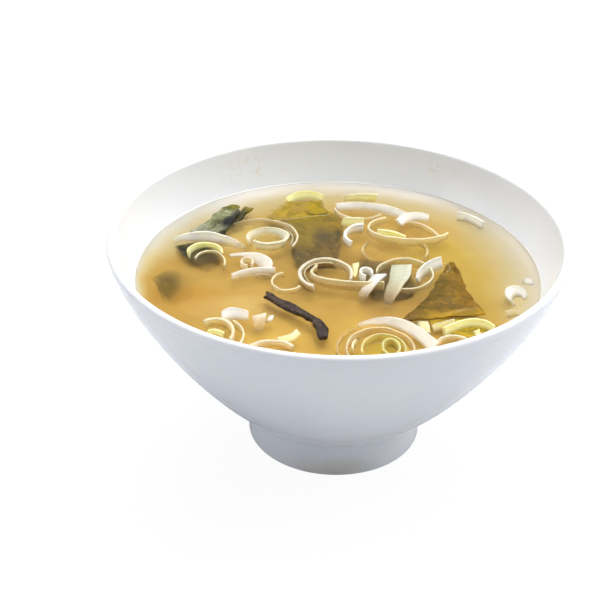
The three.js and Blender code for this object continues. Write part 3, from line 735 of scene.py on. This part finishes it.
BEIGE = trio(222, 204, 154, 219, 206, 172, 226, 208, 164)
BLUSH = trio(255, 250, 240, 238, 235, 229, 246, 236, 216)
PALE_GREEN = trio(224, 229, 204, 214, 216, 198, 214, 214, 176)
GREY_CREAM = trio(214, 198, 156, 216, 208, 186, 198, 178, 130)
PALE_YELLOW = trio(223, 204, 144, 220, 208, 166, 214, 190, 120)
LEMON = trio(255, 246, 186, 234, 230, 197, 244, 222, 136)


def leek(node, colour, path, rise, width, thick, **more):
    """A slice of leek in the place of the solid of its name."""
    strip("leek_" + node + "_slice", colour, path, rise, width, thick, node="leek_" + node, **more)


leek("long_white", "white", arc([-59, -1], [28, 28], 115, 46), [1.2, 1.6, 0.2], [1.2, 3.4, 3.8, 3.2, 1.8],
     1.2, lean=10, fade=[0.35, 0.95, 1, 1, 0.7, 0.05])
leek("yellow_arc", "yellow", arc([-56, 13], [7, 7.3], 190, 0), 0.7, [2.4, 2.6, 1.4], 1.2, lean=10)
leek("thin_ring_left", "cream", arc([-54, 6.3], [6.6, 9.8], 160, -15), -0.5, 1.8, 0.8)
leek("green_curl", "green", arc([-30, 27], [8.3, 7.8], 200, -128), [0.1, 0.6, 1.1], [2.2, 3.4, 4.4],
     [1, 1.4, 1.4], lean=24, drop=1.8)
leek("outer_ring", "pink", arc([-34, 28], [16.8, 16], 132, -28), -0.5, [2.6, 3.4, 3.2], 0.9, lean=12,
     fade=[0.25, 0.8, 1, 1], clear=0.65, tones=BEIGE)
leek("small_ring_left", "pink", arc([-38, 4.6], [2.4, 3.1], 280, -40), 0.6, 2.4, 1, clear=0.7)
leek("membrane", "cream", arc([-41, 1.5], [11.8, 11.6], 112, -4), 0.1, [1.2, 1.6, 4.6, 5.6, 3.4], 0.8,
     lean=64, fade=[0.7, 0.9, 1, 1], clear=0.8, drop=0.6, tones=BLUSH)
leek("pink_strip", "pink", arc([-27, -28], [28, 28], 127, 88), 0.4, [1.8, 2.3, 2], 1.1, lean=14,
     tones=BLUSH)
leek("open_ring", "cream", arc([-21, -8.8], [6.2, 7.6], 105, 332), -0.5, [1.2, 1.6, 1.6], 0.9, clear=0.65)
leek("white_strip_middle", "white", through([17.6, -5.2], [14.4, -11.2], [11.4, -17.2], [10.2, -21],
     [10.8, -23.4]), [1.4, 1.4, 0.8, 0.1, -0.5], [5.8, 4.8, 4.2, 3.4, 2.4], 1.2, lean=66,
     fade=[1, 1, 0.95, 0.6, 0.25, 0.08, 0], drop=0.6, tail=[0, 0, 0.1, 0.4, 0.7, 0.9, 1])
leek("pale_leaf_strip", "green", through([27, 3.6], [25.6, -6], [23.4, -13], [21.6, -18.6], [20, -24.4],
     [19, -28.6]), [1.1, 1.2, 0.9, 0.4, -0.1, -0.6], [8, 7.6, 6, 5, 3.8, 2.4], 1.0, lean=84,
     fade=[1, 1, 0.95, 0.75, 0.5, 0.3, 0.12, 0], drop=0.3, tail=[0, 0, 0.2, 0.5, 0.75, 0.9, 1],
     tones=PALE_GREEN)
leek("white_strip_right", "white", through([44, 7.4], [39.4, 3.4], [35.8, -0.5], [33.8, -3.4], [33, -6.6]),
     [1.1, 1.4, 1.3, 0.8, -0.2], [3.8, 4, 3.4, 2.8, 2.2], 1.2, lean=-18,
     tones=trio(236, 238, 230, 232, 233, 226, 228, 220, 190))
leek("right_curl_end", "cream", arc([43.4, 2.4], [3.6, 4.4], 46, -62), 0.1, [2.2, 1.6], 1, fade=0.35,
     tones=[seen(176, 150, 90)] * 3)
leek("spiral_outer", "white", arc([-5, -3.8], [10.7, 11.9], 242, -22), 0.2, [2.2, 2.4, 2.8, 2],
     [1.5, 1.7, 1.6, 1.1], lean=6, tones=GREY_CREAM)
leek("spiral_front", "yellow", through([-8.6, 3], [-10.6, -1], [-10.6, -5.4], [-6, -9.6], [1, -11.6],
     [9, -12.2], [19, -11.2]), [0.2, 0.5, 0.5, 0.1], [2, 2.8, 3.4, 3], 1.2, lean=6, tones=PALE_YELLOW)
leek("yellow_bit_middle", "yellow", through([7.6, 5.2], [7.4, 0], [7.1, -6]), 0.8, [3.2, 2.2, 1], 1.1,
     lean=80)
leek("small_curl_middle", "white", arc([11.8, -3.9], [2.5, 3.5], 262, -30), 1.1, 2.6, 1.2)
leek("ring_right", "green", arc([28, -2.8], [11.7, 11.3], 176, -100), [0.4, 0.6, 0, -0.6], [2, 3, 2.2, 1.6],
     0.75, clear=0.5, drop=2.4, tones=trio(218, 208, 160, 222, 216, 186, 210, 188, 130))
leek("yellow_band_back", "yellow", arc([-13, 60], [9.4, 9.8], 160, 38), 0.6, [2.2, 3.2, 2.6], 1.3, lean=30)
leek("white_band_back", "white", arc([9, 30.4], [29.6, 29.4], 107, 42), 0.6, [2.2, 2.8, 3], 1.5, lean=30)
leek("yellow_strip_back", "yellow", through([4, 67], [11, 67.6], [19, 67]), 0.4, [2.8, 3.6, 3.6], 1.3,
     lean=10, fade=[0.5, 0.8, 1, 1], tones=LEMON)
leek("thin_arc_back", "pink", arc([11, 59], [11.4, 12], 190, 322), -0.3, 1.8, 0.9, fade=[1, 0.9, 0.8],
     clear=0.6)
leek("two_tone_bit", "yellow", through([2.9, 44.2], [6.6, 43.2], [12.5, 43.9]), 0.6, 3.6, 1.4, lean=26,
     tones=LEMON)
leek("white_curl_back", "white", arc([10.4, 30], [6.8, 7.3], 78, 234), [1.2, 0.5, 0.2], [4, 2.6, 2.2],
     [1.5, 1.6, 1.7], lean=10)
leek("yellow_blob_back", "yellow", through([17.8, 33.2], [22, 32.6], [26, 31], [29.8, 28.4]), 0.7,
     [3, 3.2, 2.4], 1.8, lean=8)
leek("white_strip_back", "white", through([27.8, 43], [30, 46.6], [33.4, 49], [37.4, 49.6], [41.4, 48.4]),
     0.8, [3, 3.2, 2.4], 1.7, lean=38, drop=0.8)
leek("loop_tail_back", "pink", through([32.6, 43.6], [37.4, 42.4], [41.4, 37.6], [44.8, 31.4]), -0.1, 1.8,
     0.9, fade=[0.5, 0.9, 1], clear=0.6)
leek("large_loop_back", "cream", arc([32, 38], [17.8, 12.1], 122, 340), [-0.1, 0.1, 0.3, 0.2, 0],
     [1.8, 2, 3.2, 3, 2.2], 1, clear=0.6)
leek("cream_band_right", "white", through([54.6, 50.8], [58.4, 49.4], [62, 45.8], [65, 41.6]), 0.7,
     [2.8, 3, 2.4], 1.6, lean=10, fade=[0.7, 1, 1])
leek("white_curl_right", "white", arc([72.6, -20.6], [3.6, 5.6], 232, 6), 0.5, [2.4, 3.6, 3.4, 1.6],
     [1.2, 1.5, 1.1], lean=34, fade=[0.4, 1, 1, 0.5], clear=1.0, drop=0.8)
leek("white_bit_right", "white", through([76.8, -6.4], [78.8, -6.8], [80.4, -9]), 0.2, [1.4, 2.6, 1.4], 0.9,
     lean=60, fade=[0.2, 0.7, 0.2], drop=0.3)
leek("cream_bit_right", "cream", through([66.6, -33.6], [69.4, -32.2], [72.2, -32.8]), 0.2, 2.4, 1.3,
     lean=20, fade=[0.4, 0.8, 0.8])
leek("broad_yellow_arc", "yellow", through([40.6, -48.2], [44, -45.2], [48.4, -42.4], [53, -41.2],
     [57.4, -42.2], [60.4, -45.8]), 0.7, [3, 3.4, 3], 1.6, lean=16)
leek("yellow_strip_front", "yellow", through([36.6, -44.2], [41, -42], [45.6, -39.6]), 0.2, 2.2, 1.1,
     lean=36, fade=0.85, drop=0.8, tones=LEMON)
leek("yellow_square", "yellow", through([32.6, -40.8], [32.7, -45], [32.8, -48.6]), [0.5, 0.9, 0.6],
     [4.4, 4.6, 4.2], 1.2, lean=86, tones=trio(238, 230, 166, 230, 222, 170, 232, 216, 130))
leek("pink_arc_front", "pink", arc([44, -57.2], [6.4, 6.2], 168, 22), 0.1, 1.8, 1)
leek("yellow_bit_front", "yellow", through([53.4, -46.2], [53.7, -50]), 0.3, 2.4, 1, lean=82)
leek("wide_white_arc", "white", through([7.4, -43.6], [12.2, -41], [18, -40.4], [23.2, -42.2],
     [28.2, -46.6], [32.4, -52.4], [36.2, -59.6]), [0.5, 0.8, 0.9, 0.9], [1.2, 2.4, 3.4, 4.2, 4.8],
     [0.9, 1.2, 1.4], lean=42, fade=[0.15, 0.7, 1, 1, 1], drop=0.4, tones=BLUSH)
leek("ring_front", "pink", arc([15.4, -61.6], [13, 15], 212, -32), 0.2, 2.6, 0.9, clear=0.7, drop=2.6,
     tones=trio(232, 210, 164, 198, 176, 130, 226, 196, 134))
leek("green_ring_front", "green", arc([16.6, -61.6], [8.4, 10.4], 196, -12), 0, 2.8, 0.9, clear=0.65,
     drop=2.6, tones=trio(230, 216, 124, 196, 184, 104, 224, 190, 86))
leek("inner_ring_front", "cream", arc([19.6, -60], [3.2, 5.4], 250, -60), 0.3, 2.2, 1.2, drop=2.2,
     tones=trio(228, 216, 112, 200, 190, 98, 218, 196, 80))
leek("small_strip_front", "cream", through([4.8, -61.4], [5, -57.8], [6.2, -55]), 0.3, 1.6, 1)
leek("white_block", "white", through([-46.4, -37.6], [-41.6, -35.8], [-36, -37.4]), 0.9, [2.4, 4.4, 4, 2.8],
     1.8, lean=34, drop=0.8)
leek("sinking_strip", "white", through([-31.6, -37.4], [-31.4, -42], [-31.6, -49]), [0.9, 0.3, -0.6],
     [4.6, 3.8, 2.8], 1.1, lean=82, fade=[1, 0.9, 0.5, 0.3, 0.1, 0], drop=0.3,
     tail=[0.08, 0.25, 0.7, 0.8, 0.9], tones=trio(238, 232, 212, 234, 228, 208, 228, 212, 170))
leek("tiny_bit_front", "white", through([-26.8, -37.2], [-27.4, -40.6]), 0.3, 1.8, 1.1, lean=70)
leek("ring_front_left", "cream", arc([-48.4, -51], [7.2, 9.8], 128, -34), 0.4, 2.4, 1.4)
leek("thin_ring_front_left", "cream", arc([-47, -52], [9.9, 12.2], 56, -30), 0, 2, 0.9, clear=0.6)
leek("yellow_bit_front_left", "yellow", through([-51.4, -50.4], [-48, -50.2], [-45, -52.2]), 0.4, 2.8, 1.3)
leek("yellow_white_band", "yellow", through([-16.2, -49], [-18.6, -53], [-23.2, -56]), 0.5, [2, 2.6, 3.2],
     1.2, lean=-44, fade=[1, 1, 0.8], drop=0.6, tones=LEMON)
leek("pink_band_front", "pink", arc([-26, -64], [9, 7.2], 152, 30), 0.4, 2.2, 1.5)

# ---- seaweed
WEED = weed_material("wakame_skin", 760.0, (0.66, 0.7, 0.6), (1.3, 1.28, 1.15), fade=14.0)
DARK_WEED = weed_material("dark_wakame_skin", 640.0, (0.55, 0.56, 0.5), (1.5, 1.52, 1.45))
# for the kelp, the bright speckles at nearly twice its tone are painted glints of its wet skin
KELP = weed_material("kelp_skin", 900.0, (0.62, 0.6, 0.64), (1.9, 2.0, 2.1), rough=0.34)

leaf("wakame_folded_leaf_blade", DARK_WEED,
     left=[[-46.8, 58], [-50.6, 53.6], [-55.6, 47], [-59, 40.6], [-63, 34.6], [-65.6, 30]],
     right=[[-43.6, 57.6], [-43, 52], [-44.2, 45.4], [-45.8, 39], [-47.4, 33.4], [-49.4, 29]],
     rise=[0.5, 0.9, 0.5, 0.1, -0.6], wave=(0.6, 3, 2), thick=1.1, seed=31,
     node="wakame_folded_leaf", ragged=0.8, ruffle=0.28,
     tone=lambda u, v, x, y: layered(seen(112, 114, 82),
         (0.7 * smooth(0.5, 0.7, mottle(x, y, 0.9, 15)), seen(158, 160, 132)),
         (smooth(0.28, 0.08, u), seen(112, 108, 46)),
         (smooth(0.62, 0.9, v) * smooth(0.12, 0.3, u), seen(64, 64, 50)),
         (0.9 * smooth(0.68, 0.92, u) * smooth(0.75, 0.3, v), seen(158, 160, 140)),
         (spot(x, y, (-60, 36.8), (3.4, 3), 40), seen(172, 174, 156)),
         (spot(x, y, (-52.6, 40.6), (4, 2.6), 60), seen(78, 80, 52)),
         # painted shade: the near-black spot is the shaded hollow of the fold
         (1.6 * spot(x, y, (-47.6, 42), (4.8, 2.0), 66), seen(10, 12, 8)),
         (spot(x, y, (-52, 34.4), (3.4, 1.4), 40), seen(136, 136, 112)),
         (spot(x, y, (-49, 31), (3, 2.4), 40), seen(50, 50, 42))),
     show=lambda x, y, rim: 0.6 + 0.4 * smooth(29, 37, y + 0.4 * (x + 50)))
leaf("wakame_frond_blade", DARK_WEED,
     left=[[-40.4, 57], [-42.2, 52.6], [-43, 47.6], [-44.4, 44], [-46, 40.4]],
     right=[[-37.4, 55.4], [-39.4, 51], [-41.4, 46.2], [-43.6, 41.6], [-46.4, 38.2]],
     rise=[0.6, 0.7, 0.4, 0.1, -0.3], wave=(0.2, 2, 1), thick=1.1, seed=35, cells=(50, 12),
     node="wakame_frond", ragged=0.9,
     tone=lambda u, v, x, y: layered(seen(66, 62, 46), (smooth(0.4, 0.05, u), seen(112, 102, 50))),
     show=lambda x, y, rim: smooth(38, 45, y))
leaf("kelp_strip_blade", KELP,
     left=[[-29.9, -22.8], [-26.3, -27], [-19.9, -32.8], [-13.9, -37.8], [-10.1, -43], [-9, -50.6],
           [-7.4, -53.6]],
     right=[[-28.9, -17.6], [-24.7, -22.2], [-18.3, -28], [-12.2, -34.6], [-7, -40.8], [-3.9, -49.8],
            [-5.2, -53.2]],
     rise=[0.2, 0.3, 0.3, 0.3, 0.2], wave=(0.2, 4, 1), thick=1.8, seed=41, cells=(80, 14),
     node="kelp_strip", ruffle=0.3, ragged=0.7,
     tone=lambda u, v, x, y: layered(srgb(58, 46, 38), (smooth(0.7, 1.0, u), srgb(62, 51, 50)),
         (0.8 * smooth(0.55, 0.95, v), srgb(42, 33, 29)),
         (0.5 * smooth(0.62, 0.8, mottle(x, y, 1.1, 5)), srgb(92, 80, 76))))
leaf("wakame_triangle_blade", WEED,
     left=[[47.4, 8], [44.6, 1.4], [40.4, -9], [35.4, -21], [29.6, -31.4], [24.4, -39.4]],
     right=[[49.4, 7.4], [51, -1], [52.4, -10], [54.2, -19.4], [56.4, -27], [58.8, -33.6]],
     rise=[0.4, 0.2, 0, -0.2, 0.1], wave=(0.5, 3, 2), thick=1, seed=51, cells=(90, 60),
     node="wakame_triangle",
     tone=lambda u, v, x, y: layered(seen(122, 94, 30),
         (smooth(0.5, 0.0, v) * smooth(0.1, 0.4, u), seen(102, 82, 34)),
         (0.5 * smooth(0.52, 0.7, mottle(x, y, 2.2, 12)), seen(94, 78, 34)),
         (0.4 * smooth(0.45, 0.3, mottle(x, y, 1.5, 14)), seen(150, 120, 52)),
         (smooth(0.6, 1.0, v), seen(128, 94, 12)),
         (0.8 * spot(x, y, (43, -14), (9, 3.4), 60), seen(98, 82, 40)),
         (smooth(-29, -35, y - 0.15 * (x - 40)) * smooth(30, 40, x), seen(158, 124, 2)),
         # painted highlight: the thin pale streak along the fold near the hem
         (0.8 * spot(x, y, (48, -31.5), (9, 0.9), 16) * mottle(x, y, 1.6, 4), seen(160, 138, 100)),
         (smooth(34, 26, x) * smooth(-24, -32, y), seen(118, 90, 44))),
     show=lambda x, y, rim: 1 - 0.5 * smooth(33, 24, x) * smooth(0.2, -0.6, lattice_noise(x / 2, y / 2, 3)))
leaf("wakame_triangle_hem", WEED,
     left=[[35, -36], [42, -36], [50, -35], [58, -36.4], [63, -40]],
     right=[[36, -42], [42, -46], [49, -51], [55, -52], [61.4, -49]],
     rise=[-0.5, -0.6, -0.7, -0.9, -1.2], wave=(0.15, 2, 1), thick=0.6, seed=57, cells=(50, 24),
     node="wakame_triangle", ragged=0.4, ruffle=0.12,
     tone=lambda u, v, x, y: layered(seen(196, 164, 8), (smooth(0.35, 0.8, v), seen(226, 192, 50))),
     show=lambda x, y, rim: 0.8 * smooth(0, 2.6, rim) * (0.55 + 0.45 * smooth(-46, -40, y)))


def dim_part(x, y):
    """How much a place belongs to the dim grey near part of the large leaf."""
    line = 23 + 14 * smooth(-14, -8, x) + 9 * (mottle(x, y, 3.0, 9) - 0.5)
    return smooth(-3, 4.5, line - y)


leaf("wakame_large_leaf_blade", WEED,
     left=[[-22.6, 64], [-28.6, 55], [-31.6, 46], [-22, 38], [-18, 29], [-19.6, 18], [-17, 6]],
     right=[[-6, 66], [-4.4, 57], [2.6, 49], [3.6, 40], [2.4, 29], [1.6, 19], [0.6, 10]],
     rise=[-0.2, -0.3, -0.6, -1, -1.4, -1.8, -2], wave=(0.35, 4, 2), thick=1, seed=61, cells=(120, 66),
     node="wakame_large_leaf", ragged=0.9, ruffle=0.14,
     tone=lambda u, v, x, y: layered(seen(160, 134, 52),
         (smooth(-18, -8, x) * smooth(50, 54, y), seen(156, 130, 34)),
         (smooth(50, 46, y - 0.26 * (x + 15)), seen(134, 114, 44)),
         (smooth(-8, 0, x) * smooth(50, 44, y), seen(146, 118, 46)),
         (dim_part(x, y), seen(106, 86, 52)),
         (spot(x, y, (-5.6, 32), (3.2, 5), 20) + spot(x, y, (1, 34), (1.4, 4), 0), seen(62, 64, 50)),
         (0.9 * spot(x, y, (-16.6, 16), (4, 5), 40), seen(84, 76, 60)),
         (spot(x, y, (-11, 25), (1.6, 5), 0), seen(126, 112, 52)),
         (0.6 * dim_part(x, y) * smooth(0.5, 0.64, mottle(x, y, 1.3, 19)), seen(74, 68, 52)),
         (0.5 * dim_part(x, y) * smooth(0.45, 0.3, mottle(x, y, 2.1, 29)), seen(124, 110, 58))),
     show=lambda x, y, rim: (0.1 + 0.9 * smooth(-0.3, 2.4, rim)) * (0.9 - 0.15 * smooth(26, 14, y))
     * (0.25 + 0.75 * smooth(-0.2, 7, rim + 7 * smooth(-24, -14, x))))
strip("wakame_large_leaf_crease", "green", through([-27.5, 44.4], [-16, 47.4], [-3, 50.8]), rise=0.0,
      width=0.7, thick=0.5, slot="wakame_pale", node="wakame_large_leaf", tones=[seen(186, 166, 98)] * 3,
      fade=[0.4, 0.7, 0.6])
leaf("leek_olive_bit_slice", WEED, left=[[-12.6, 54], [-10.4, 57.6], [-7, 58.6], [-3.6, 54.6]],
     right=[[-11.8, 51], [-9, 50], [-6, 50.2], [-3.2, 51]], rise=0.25, wave=(0.1, 2, 1), thick=0.7, seed=91,
     cells=(24, 14), node="leek_olive_bit", ragged=0.8, ruffle=0.1,
     tone=lambda u, v, x, y: seen(142, 122, 2), show=lambda x, y, rim: smooth(-0.2, 1.5, rim))
# a dark sheet under the surface, painted shade in the fold between the folded leaf and the frond
leaf("fold_shade_web", DARK_WEED, left=[[-43.6, 57], [-44.6, 51.6], [-46.4, 46], [-48.6, 41], [-50.4, 36.6]],
     right=[[-41.6, 54.4], [-43, 49], [-45, 44], [-47, 39.6], [-48.6, 36]],
     rise=[-0.7, -1.1, -1.2, -1.1, -0.9], wave=(0.1, 2, 1), thick=0.5, seed=93, cells=(40, 12),
     ragged=0.3, ruffle=0.1,
     tone=lambda u, v, x, y: layered(seen(64, 62, 46), (smooth(0.55, 0.95, u), seen(96, 88, 64))),
     show=lambda x, y, rim: smooth(0, 1.2, rim) * smooth(40, 46, y))
leaf("wakame_dark_leaf_blade", DARK_WEED,
     left=[[-70.4, 21], [-66, 13.6], [-60.6, 7.4], [-55, 2]],
     right=[[-62, 24.2], [-54.6, 22.4], [-50.4, 16.6], [-49, 9]],
     rise=[-0.4, -0.8, -1.6, -2.2], wave=(0.4, 2, 2), thick=1, seed=71, cells=(50, 30),
     node="wakame_dark_leaf",
     tone=lambda u, v, x, y: layered(seen(44, 48, 30), (smooth(14, 6, y), seen(84, 74, 42))),
     show=lambda x, y, rim: smooth(0, 2.2, rim) * (0.12 + 0.88 * smooth(5, 15, y - 0.55 * (x + 58))))


# ---- what is wholly sunk
def sunk_leaf(name, left, right, rise, colour, seed, core):
    """A dark leaf seen dimly through the broth; core is the soft spot in which it shows."""
    leaf(name, DARK_WEED, left, right, rise, wave=(0.3, 2, 2), thick=0.6, tone=lambda u, v, x, y: colour,
         cells=(44, 30), seed=seed, ragged=1.4,
         show=lambda x, y, rim: smooth(0, 3, rim) * (0.7 + 0.3 * mottle(x, y, 6.0, seed)) * spot(x, y, *core))


sunk_leaf("sunk_leaf_middle", [[9.6, 14.6], [7.6, 7], [9.4, -2], [12.6, -11], [15, -19]],
          [[21, 11.6], [28, 5], [32.4, -4], [33, -12], [26, -19]],
          [-1.5, -1.7, -1.9, -2.3, -2.9], seen(80, 72, 56), 81, ((20, -1), (15, 18), 12))
sunk_leaf("sunk_leaf_left", [[-72, 2], [-79, -7], [-78, -17], [-72, -26]],
          [[-65, 2], [-60, -7], [-60, -17], [-65, -26]], [-1.2, -1.4, -1.7, -2.1], seen(98, 84, 40), 83,
          ((-71, -10.8), (4.4, 9), -6))
for end, (start, stop) in {"left": (215, 140), "right": (38, -40)}.items():
    strip("sunk_ring_" + end, "cream", arc([25, 19], [14, 12], start, stop), rise=-1.0, width=1.8, thick=1.3,
          clear=0.6, fade=[0.2, 0.9, 0.2], tones=[seen(214, 190, 132)] * 3, drop=0)
strip("sunk_line_left", "pink", through([-34.4, -3.4], [-31, -2.7], [-27.6, -3.2]), rise=-0.8, width=1.2,
      thick=0.7, fade=0.6)
strip("sunk_ring_front", "pink", arc([15, -60], [16.2, 16.4], 215, 112), rise=-0.4, width=2, thick=1.1,
      clear=0.6, fade=[0.5, 0.5, 0.1], tones=[seen(214, 178, 110)] * 3)
# a thin skin sunk inside the spiral; its dark brown tones are partly painted shade on the inner face of the
# ring
strip("sunk_skin_spiral", "cream", arc([-5, -3.8], [9.1, 10.1], 236, 66), rise=[-0.5, -0.3, -0.3],
      width=[2, 2.8, 2.4], thick=0.7, lean=-20, fade=[0.7, 1, 0.8],
      tones=(seen(150, 132, 88), seen(184, 168, 124), seen(128, 108, 66)))
strip("sunk_skin_left", "cream", arc([-34, 28], [15.2, 14.3], 42, -22), rise=-0.5, width=[1.4, 2.2, 1.6],
      thick=0.6, lean=-20, fade=[0.5, 1, 0.8],
      tones=(seen(162, 148, 108), seen(196, 184, 146), seen(140, 124, 82)))


# ---- broth
BRINK = 0.1         # the murk starts this far under the surface at the wall
FILM = 0.02         # between the clear layer and the murk
SHELF = 24          # width from the wall over which the murk sinks to its full depth
WALL_RISE, WALL_REACH = 0.07, 0.9     # how high the clear layer climbs at the wall, and over what width
LIFT, LIFT_EDGE, LIFT_REACH = 0.1, 0.6, 1.1     # the same round what floats, from this far out


def murk_top(x, y):
    """Height of the face under which the broth is opaque. It comes up to the surface at the bowl's wall."""
    waves = 0.35 * lattice_noise(x / 14, y / 14, 5) + 0.15 * lattice_noise(x / 5, y / 5, 6)
    return LEVEL - BRINK - (MURK_DEPTH - waves) * smooth(0, SHELF, SURFACE_RADIUS - np.hypot(x, y))


# soft darker spots on the murk: x, y, half length, half width, turn, darkness. Most are dark leaves deep in
# the broth; the faint one at (61, 41) is a painted shadow of the cream band on the right, and the one at
# (-10, -8) painted shade inside the spiral
STAINS_AND_SHADE = (
    (20, -3, 11, 13, 0, 0.3), (15, -19, 5, 7, 20, 0.3), (29, -10, 6, 6, 0, 0.25), (5, 15, 7, 6, 0, 0.2),
    (-71, -15, 4, 9, -10, 0.25), (61, 41, 6, 3, -40, 0.08), (-10, 16, 12, 12, 0, 0.3),
    (32, -18, 8, 6, 0, 0.15), (-10, -8, 9, 7, 0, 0.12),
)


def body():
    """The opaque broth: its top lies under the surface and its side follows the bowl."""
    brink = float(wall_radius(LEVEL - BRINK))
    radii = np.append(np.linspace(1.2, brink - 0.03, 84), brink)[:, None]
    top = ring(radii, LEVEL, BODY_SEGMENTS)
    x, y = top[..., 0], top[..., 1]
    top[..., 2] = murk_top(x, y)
    shade = np.ones(x.shape)
    for sx, sy, long, wide, turn, dark in STAINS_AND_SHADE:
        shade *= 1 - dark * spot(x, y, (sx, sy), (long, wide), turn)
    side = WALL_FINE[WALL_FINE[:, 1] < LEVEL - 0.8][::-1][::8]
    rings = np.concatenate([top, ring(side[:, :1], side[:, 1:], BODY_SEGMENTS)])
    verts, faces, _ = turned(float(murk_top(0, 0)), rings, FLOOR_HEIGHT + TOUCH)
    tint = np.ones((len(verts), 1))
    tint[1:1 + shade.size, 0] = shade.ravel()
    obj = new_object("broth_body", verts, faces, tint=tint ** np.array([1.0, 1.05, 1.1]))
    settle(obj, [murky()], "soup")


def surface():
    """The clear top layer of the broth, which rises a little at the wall and round what floats."""
    edge = SURFACE_RADIUS
    radii = np.concatenate([np.linspace(1.0, edge - 6, 88), edge - 6 + np.linspace(0.4, 1, 14) ** 0.8 * 6])
    radii = np.append(np.unique(radii)[:-1], [edge - 0.03, edge])[:, None]
    x, y, z = np.moveaxis(ring(radii, LEVEL, SURFACE_SEGMENTS), -1, 0)
    z = z + 0.025 * lattice_noise(x / 9, y / 9, 8) + WALL_RISE * np.exp(-(edge - radii) / WALL_REACH)
    reach = 1 + (wall_radius(LEVEL + 0.12) + 0.14 - edge) / edge * smooth(edge - 1.2, edge, radii)
    x, y = x * reach, y * reach
    tree = kdtree.KDTree(len(WATER_MARKS))
    for i, mark in enumerate(WATER_MARKS):
        tree.insert((*mark, 0), i)
    tree.balance()
    gap = np.array([tree.find((*place, 0))[2] for place in zip(x.ravel(), y.ravel())]).reshape(x.shape)
    z = z + LIFT * np.exp(-np.maximum(gap - LIFT_EDGE, 0) / LIFT_REACH)
    low = murk_top(x, y) + FILM
    shrink = np.minimum(1.0, wall_radius(low) / radii)
    rings = np.concatenate([np.stack([x, y, z], -1), np.stack([x * shrink, y * shrink, low], -1)[::-1]])
    verts, faces, band = turned(LEVEL, rings, float(murk_top(0, 0)) + FILM)
    obj = new_object("broth_clear_layer", verts, faces, face_material=np.where(band < len(radii), 0, 1))
    settle(obj, [surface_gloss(), unseen()], "soup")


body()
surface()

# ---- floor
FLOOR_REACH = 4000
corners = [(x * FLOOR_REACH, y * FLOOR_REACH, 0) for x, y in ((-1, -1), (1, -1), (1, 1), (-1, 1))]
floor = new_object("floor", corners, [(0, 1, 2, 3)], smooth_faces=False)
paper = Shader("pale_floor")
colour = paper.mix(paper.noise(3.0), srgb(206, 208, 212), srgb(210, 212, 216))
matt = paper.node("BsdfPrincipled", Base_Color=colour, Roughness=0.9, Specular_IOR_Level=0.1).outputs[0]
glow = paper.node("Emission", (1, 1, 1), 1.06).outputs[0]
share = paper.times(paper.node("LightPath").outputs["Is Camera Ray"], 0.88)
floor.data.materials.append(paper.finish(paper.blend(share, matt, glow)))
